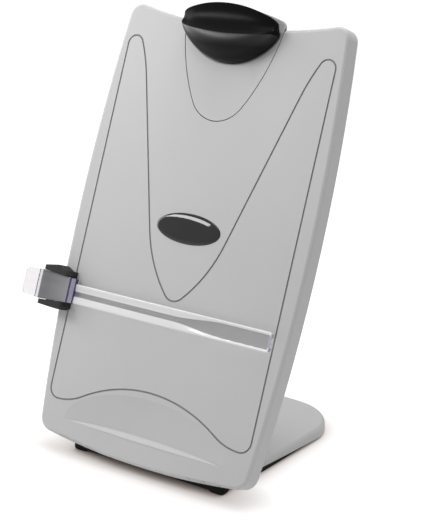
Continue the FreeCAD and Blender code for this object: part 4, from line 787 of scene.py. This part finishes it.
def coil_tree():
    """A wound wire along an axis, centred on a point."""
    tree = Tree(
        "wound_coil",
        [
            ("Turns", "NodeSocketFloat", 5.0),
            ("Radius", "NodeSocketFloat", 0.002),
            ("Height", "NodeSocketFloat", 0.008),
            ("Wire", "NodeSocketFloat", 0.0004),
            ("Turn", "NodeSocketVector", (0.0, 0.0, 0.0)),
            ("Centre", "NodeSocketVector", (0.0, 0.0, 0.0)),
        ],
    )
    spiral = tree.add(
        "GeometryNodeCurveSpiral",
        {
            "Resolution": 32,
            "Rotations": tree.given("Turns"),
            "Start Radius": tree.given("Radius"),
            "End Radius": tree.given("Radius"),
            "Height": tree.given("Height"),
        },
    )
    ring = tree.add(
        "GeometryNodeCurvePrimitiveCircle", {"Resolution": 10, "Radius": tree.given("Wire")}
    )
    wire = tree.add(
        "GeometryNodeCurveToMesh",
        {"Curve": spiral.outputs[0], "Profile Curve": ring.outputs[0], "Fill Caps": True},
    )
    drop = tree.math("MULTIPLY", tree.given("Height"), -0.5)
    middle = tree.add("ShaderNodeCombineXYZ", {"Z": drop})
    centred = tree.add(
        "GeometryNodeTransform",
        {"Geometry": wire.outputs[0], "Translation": middle.outputs[0]},
    )
    placed = tree.add(
        "GeometryNodeTransform",
        {
            "Geometry": centred.outputs[0],
            "Translation": tree.given("Centre"),
            "Rotation": tree.given("Turn"),
        },
    )
    return tree.finish(placed.outputs[0], STEEL)


COIL = coil_tree()


def grown_coil(node, side, turn, height, turns, wire):
    """A real wound spring in the place of the CAD node's sleeve, as wide as its box's side."""
    low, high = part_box(node)
    centre = (low + high) / 2
    radius = (getattr(high, side) - getattr(low, side)) / 2
    host = bpy.data.meshes.new(node + "_seat")
    host.from_pydata([centre], [], [])
    values = {
        "Turns": turns, "Radius": radius - wire, "Height": height - 2 * wire,
        "Wire": wire, "Turn": turn, "Centre": centre,
    }
    grown(COIL, host, node, node + "_wound", values)


grown_coil("clip_spring", "y", Vector((0, math.pi / 2, 0)), 0.0096, 6.0, 0.0005)
grown_coil("guide_spring", "x", Vector((-LEAN, 0, 0)), 0.004, 3.5, 0.0004)


# ---------------------------------------------------------------- paper ledge

DISH_DEEP, DISH_OUT, DISH_UP = 30.0, 26.8, 9.5
DISH_WIDE, DISH_TALL = 191.4, 80.1
LEDGE_HALF, LEDGE_STEPS, LEDGE_CREASE = 84.5, 96, 50
LEDGE_SLOPE, LEDGE_RISE, LEDGE_THIN = 1.05, 0.4, 0.02
# How far the ledge's edges and its back lie within the board, in mm.
LEDGE_SUNK, LEDGE_BACK = 0.05, 0.5
# The lip: mm up where the dish is deepest, and the share of its rise there.
LEDGE_LIP = ((-1.5, 0.45), (-1.0, 0.85), (-0.6, 1.0), (-0.2, 0.7))


def dish_out(across, up):
    """How far the dish above the ledge lies behind the board's face."""
    share = 1 - (across / DISH_WIDE) ** 2 - ((up - DISH_UP) / DISH_TALL) ** 2
    return DISH_OUT - DISH_DEEP * math.sqrt(share)


def ledge_section(across):
    """The ledge's rounded lip and its face, which slopes up into the dish."""
    deep = max(-dish_out(across, DISH_UP), LEDGE_THIN)
    full = deep / -dish_out(0, DISH_UP)
    top = DISH_UP + LEDGE_SLOPE * deep
    rise = LEDGE_RISE * full
    foot = dish_out(across, top)
    low = DISH_UP - 2.0 * full
    lip = [(DISH_UP + up * full, out * rise) for up, out in LEDGE_LIP]
    profile = [
        (low, -LEDGE_SUNK), *lip, (DISH_UP + 0.15 * full, -0.02),
        (DISH_UP + 0.4 * (top - DISH_UP), 0.36 * foot), (top - 0.3 * full, 0.92 * foot),
        (top + 0.5 * full, foot - LEDGE_SUNK), (top, foot - LEDGE_BACK), (low, -LEDGE_BACK),
    ]
    return [on_board(across, up, out) for up, out in profile]


def ledge_face():
    """The sloped face that a sheet stands on, laid over the ledge of the front panel."""
    work = bmesh.new()
    stops = [LEDGE_HALF * (2 * number / LEDGE_STEPS - 1) for number in range(LEDGE_STEPS + 1)]
    rows, _ = loft(work, [ledge_section(across) for across in stops])
    work.faces.new(rows[0])
    work.faces.new(list(reversed(rows[-1])))
    bmesh.ops.recalc_face_normals(work, faces=work.faces)
    obj = bpy.data.objects.new("ledge_face", as_mesh(work, "ledge_face", LEDGE_CREASE))
    bpy.context.scene.collection.objects.link(obj)
    obj.data.materials.append(GREY)
    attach(obj, body_of(NODES["front_panel"])[0])


ledge_face()

# ---------------------------------------------------------------- line guide

# All in mm on the board: up it, out of its face, and across it from its middle.
BAR_LOW, BAR_HIGH = 109.0, 126.4
BAR_MIDDLE = (BAR_LOW + BAR_HIGH) / 2
BAR_BACK, BAR_FACE = 2.6, 5.6
BAR_END, BAR_CORNER, BAR_CROWN = 107.9, 4.5, 1.1
TRAY_DEEP, TRAY_END, TRAY_FADE = 0.8, 1.3, 1.6
BLOCK_IN = -100.9
RIM_SLIM, RIM_BROAD, RIM_SHARE = 2.9, 7.5, 0.86
TAPER_FROM, TAPER_LONG = 60.0, 52.0
TAB_FROM, SLIT_FROM, SLIT_BACK = -138.2, -139.1, 8
EDGE_STRIP = -135.4
END_BEND, BEND_STEPS, BAR_STEPS, SECTION_STEPS = 8.0, 22, 46, 6
# The guide's finishes by their place in its list of materials; BRIGHT is its painted highlight.
BRIGHT, SMOKE, DEEP, LILAC, THIN = 1, 2, 3, 4, 5


def eased(share):
    """A share held within 0 and 1, and softened towards both."""
    share = min(max(share, 0.0), 1.0)
    return share * share * (3 - 2 * share)


def rim_width(across):
    """The rounded rim is slim at the far end and broadens towards the block."""
    return RIM_SLIM + (RIM_BROAD - RIM_SLIM) * eased((TAPER_FROM - across) / TAPER_LONG)


def bar_half(across):
    """Half the bar's width, drawn in by its rounded corners at the far end."""
    half = (BAR_HIGH - BAR_LOW) / 2
    into = across - (BAR_END - BAR_CORNER)
    if into <= 0:
        return half
    return half - BAR_CORNER + math.sqrt(max(BAR_CORNER**2 - into**2, 0.0))


def bar_section(across):
    """One section of the bar: a flat back, two round rims and a dished tray between."""
    half = bar_half(across)
    rim = min(rim_width(across), half * 0.9)
    deep = TRAY_DEEP * eased((BAR_END - across - TRAY_END) / TRAY_FADE)
    crown = min(BAR_CROWN, half * 0.4)
    points = [(half - 0.3, BAR_BACK), (half, BAR_BACK + 0.3)]
    for number in range(SECTION_STEPS + 1):
        turn = math.pi / 2 * number / SECTION_STEPS
        wide = half - crown + crown * math.cos(turn)
        points.append((wide, BAR_FACE - crown + crown * math.sin(turn)))
    for number in range(1, SECTION_STEPS + 1):
        share = number / SECTION_STEPS
        wide = half - crown - (rim - crown) * share
        points.append((wide, BAR_FACE - deep * eased(share)))
    points.append(((half - rim) * 0.5, BAR_FACE - deep * 1.02))
    points.append((0.0, BAR_FACE - deep * 1.04))
    whole = points + [(-wide, out) for wide, out in reversed(points[:-1])]
    return [on_board(across, BAR_MIDDLE + wide, out) for wide, out in whole]


def bar_stations():
    """The places of the bar's sections, closer together round its far end."""
    start = BLOCK_IN + 0.4
    bend = BAR_END - END_BEND
    run = [start + (bend - start) * number / BAR_STEPS for number in range(BAR_STEPS)]
    for number in range(BEND_STEPS + 1):
        run.append(bend + END_BEND * math.sin(math.pi / 2 * number / BEND_STEPS) - 1e-4)
    return run


def guide_bar():
    """The long bar: its rims take the bright finish, a painted highlight, the tray and back the
    clear one.
    """
    work = bmesh.new()
    rows, faces = loft(work, [bar_section(across) for across in bar_stations()])
    for face in faces:
        middle = sum((corner.co for corner in face.verts), Vector()) / 4
        across, up, out = board_place(middle)
        on_rim = abs(up - BAR_MIDDLE) > bar_half(across) - rim_width(across) * RIM_SHARE
        if out > BAR_BACK + 0.05:
            if across > BAR_END - TRAY_END:
                face.material_index = LILAC
            elif on_rim:
                face.material_index = BRIGHT
    for row in (list(reversed(rows[0])), rows[-1]):
        work.faces.new(row).material_index = BRIGHT
    bmesh.ops.recalc_face_normals(work, faces=work.faces)
    mesh = bpy.data.meshes.new("guide_bar")
    work.to_mesh(mesh)
    work.free()
    return mesh


WALL_FROM, WALL_EDGE = -103.7, -101.6
WALL_PALE, WALL_FOOT = 7.2, 3.3


def wall_band(across, out):
    """The block's inner wall: two deep bands with a paler one between, and a bright foot."""
    if across < WALL_EDGE:
        return DEEP
    if out < WALL_FOOT:
        return BRIGHT
    return LILAC if out > WALL_PALE else DEEP


BLOCK_CUTS = (SLIT_FROM, TAB_FROM, EDGE_STRIP, WALL_FROM)
ACROSS = Vector((1, 0, 0))


def cut(work, place, facing, clear=False):
    """Cuts a mesh along a plane, and can clear what lies beyond it."""
    bmesh.ops.bisect_plane(
        work, geom=work.verts[:] + work.edges[:] + work.faces[:], dist=CUT_REACH,
        plane_co=place, plane_no=facing, clear_outer=clear,
    )


def guide_block():
    """The block, barrel and tab of the CAD node, with the bar cut away."""
    block = merged("line_guide")
    cut(block, on_board(BLOCK_IN + 0.6, 0, 0), ACROSS, clear=True)
    open_edges = [edge for edge in block.edges if edge.is_boundary]
    bmesh.ops.holes_fill(block, edges=open_edges)
    bmesh.ops.recalc_face_normals(block, faces=block.faces)
    for across in BLOCK_CUTS:
        cut(block, on_board(across, 0, 0), ACROSS)
    for out in (WALL_FOOT, WALL_PALE):
        cut(block, on_board(0, 0, out), OUT)
    for face in block.faces:
        across, up, out = board_place(face.calc_center_median())
        aside = abs(face.normal.dot(UP))
        if across > WALL_FROM:
            face.material_index = wall_band(across, out)
        elif across > EDGE_STRIP:
            face.material_index = BRIGHT if aside > 0.5 else SMOKE
        elif across > TAB_FROM:
            face.material_index = BRIGHT
        elif across > SLIT_FROM:
            face.material_index = DEEP if out > SLIT_BACK else THIN
        else:
            face.material_index = THIN
    return block


def line_guide():
    """The bar and the block as one clear piece, its edges broken in the bright finish, a painted
    highlight.
    """
    bar = guide_bar()
    whole = guide_block()
    whole.from_mesh(bar)
    mesh = as_mesh(whole, "clear_line_guide")
    finishes = (CLEAR, RIM_HIGHLIGHT, SMOKY, NAVY, LAVENDER, TAB_CLEAR)
    obj = piece("clear_line_guide", mesh, "line_guide", *finishes)
    break_edges(obj, 0.0004, 40, material=BRIGHT)


line_guide()

# ---------------------------------------------------------------- floor, light and camera


FLOOR_SIZE, FLOOR_DROP = 60.0, 0.0002


def floor():
    """A pale floor that keeps the object's shadow, adds a painted contact shadow round it, and
    shows white beyond.
    """
    bpy.ops.mesh.primitive_plane_add(size=FLOOR_SIZE, location=(0, 0, -FLOOR_DROP))
    plane = bpy.context.object
    plane.name = "floor"
    mat = bpy.data.materials.new("floor_paper")
    mat.use_nodes = True
    tree = mat.node_tree
    tree.nodes.clear()
    paper = tree.nodes.new("ShaderNodeBsdfDiffuse")
    paper.inputs["Color"].default_value = (0.85, 0.85, 0.85, 1.0)
    shade = tree.nodes.new("ShaderNodeBsdfDiffuse")
    shade.inputs["Color"].default_value = (0.26, 0.26, 0.26, 1.0)
    # Occlusion near the object darkens the glow the eye sees into warm brown: a painted contact
    # shadow.
    near = tree.nodes.new("ShaderNodeAmbientOcclusion")
    near.samples = 16
    near.inputs["Distance"].default_value = 0.032
    light = tree.nodes.new("ShaderNodeEmission")
    stops = [
        (0.0, (0.004, 0.004, 0.004)), (0.1, (0.03, 0.024, 0.022)), (0.22, (0.21, 0.175, 0.16)),
        (0.4, (0.48, 0.44, 0.42)), (0.6, (0.59, 0.56, 0.55)), (0.8, (0.72, 0.7, 0.69)),
        (0.94, (0.86, 0.85, 0.845)), (1.0, (0.935, 0.935, 0.94)),
    ]
    tree.links.new(ramp(tree, near.outputs["AO"], stops), light.inputs["Color"])
    seen = tree.nodes.new("ShaderNodeAddShader")
    tree.links.new(shade.outputs[0], seen.inputs[0])
    tree.links.new(light.outputs[0], seen.inputs[1])
    end = tree.nodes.new("ShaderNodeOutputMaterial")
    mix_shaders(tree, seen_directly(tree), paper, seen, end)
    plane.data.materials.append(mat)


def area_light(name, place, aim, size, power):
    lamp = bpy.data.lights.new(name, "AREA")
    lamp.shape = "RECTANGLE"
    lamp.size, lamp.size_y = size
    lamp.energy = power
    obj = bpy.data.objects.new(name, lamp)
    bpy.context.scene.collection.objects.link(obj)
    obj.location = place
    obj.rotation_mode = "QUATERNION"
    obj.rotation_quaternion = (Vector(aim) - Vector(place)).to_track_quat("-Z", "Y")


def world_light():
    """Even white surroundings: plain white to the eye and in reflections."""
    world = bpy.data.worlds.new("studio")
    bpy.context.scene.world = world
    world.use_nodes = True
    tree = world.node_tree
    back = tree.nodes["Background"]
    back.inputs["Color"].default_value = (1.0, 1.0, 1.0, 1.0)
    back.inputs["Strength"].default_value = 0.25
    bright = tree.nodes.new("ShaderNodeBackground")
    bright.inputs["Strength"].default_value = 1.0
    mix_shaders(tree, seen_directly(tree), back, bright, tree.nodes["World Output"])


CAMERA_PLACE, CAMERA_LENS = (0.7782, -1.1380, 0.5862), 109.4
CAMERA_AZIMUTH, CAMERA_ELEVATION = 36, 17.83


def camera():
    azimuth, elevation = math.radians(CAMERA_AZIMUTH), math.radians(CAMERA_ELEVATION)
    back = Vector(
        (
            math.sin(azimuth) * math.cos(elevation),
            -math.cos(azimuth) * math.cos(elevation),
            math.sin(elevation),
        )
    )
    data = bpy.data.cameras.new("camera")
    data.lens = CAMERA_LENS
    data.sensor_width = 36.0
    data.clip_start = 0.05
    data.clip_end = 100.0
    obj = bpy.data.objects.new("camera", data)
    bpy.context.scene.collection.objects.link(obj)
    obj.location = CAMERA_PLACE
    obj.rotation_mode = "QUATERNION"
    obj.rotation_quaternion = (-back).to_track_quat("-Z", "Y")
    bpy.context.scene.camera = obj


# Each lamp's name, place, aim, size and power.
LAMPS = (
    ("near", (-0.54, -0.6, 0.72), (-0.05, -0.05, 0.3), (0.40, 0.15), 2.4),
    ("left", (-1.4, -0.3, 0.6), (0, -0.08, 0.15), (1.0, 1.0), 12.0),
    ("fill", (1.3, -0.5, 0.6), (0, -0.08, 0.15), (1.0, 1.0), 2.4),
    ("top", (0.1, 0.25, 1.5), (0, -0.05, 0.1), (1.0, 0.7), 12.0),
    ("over", (-0.1, -0.5, 1.45), (0, -0.1, 0.15), (0.6, 0.6), 2.6),
)

floor()
world_light()
for lamp in LAMPS:
    area_light(*lamp)
camera()
bpy.context.scene.view_settings.view_transform = "Standard"
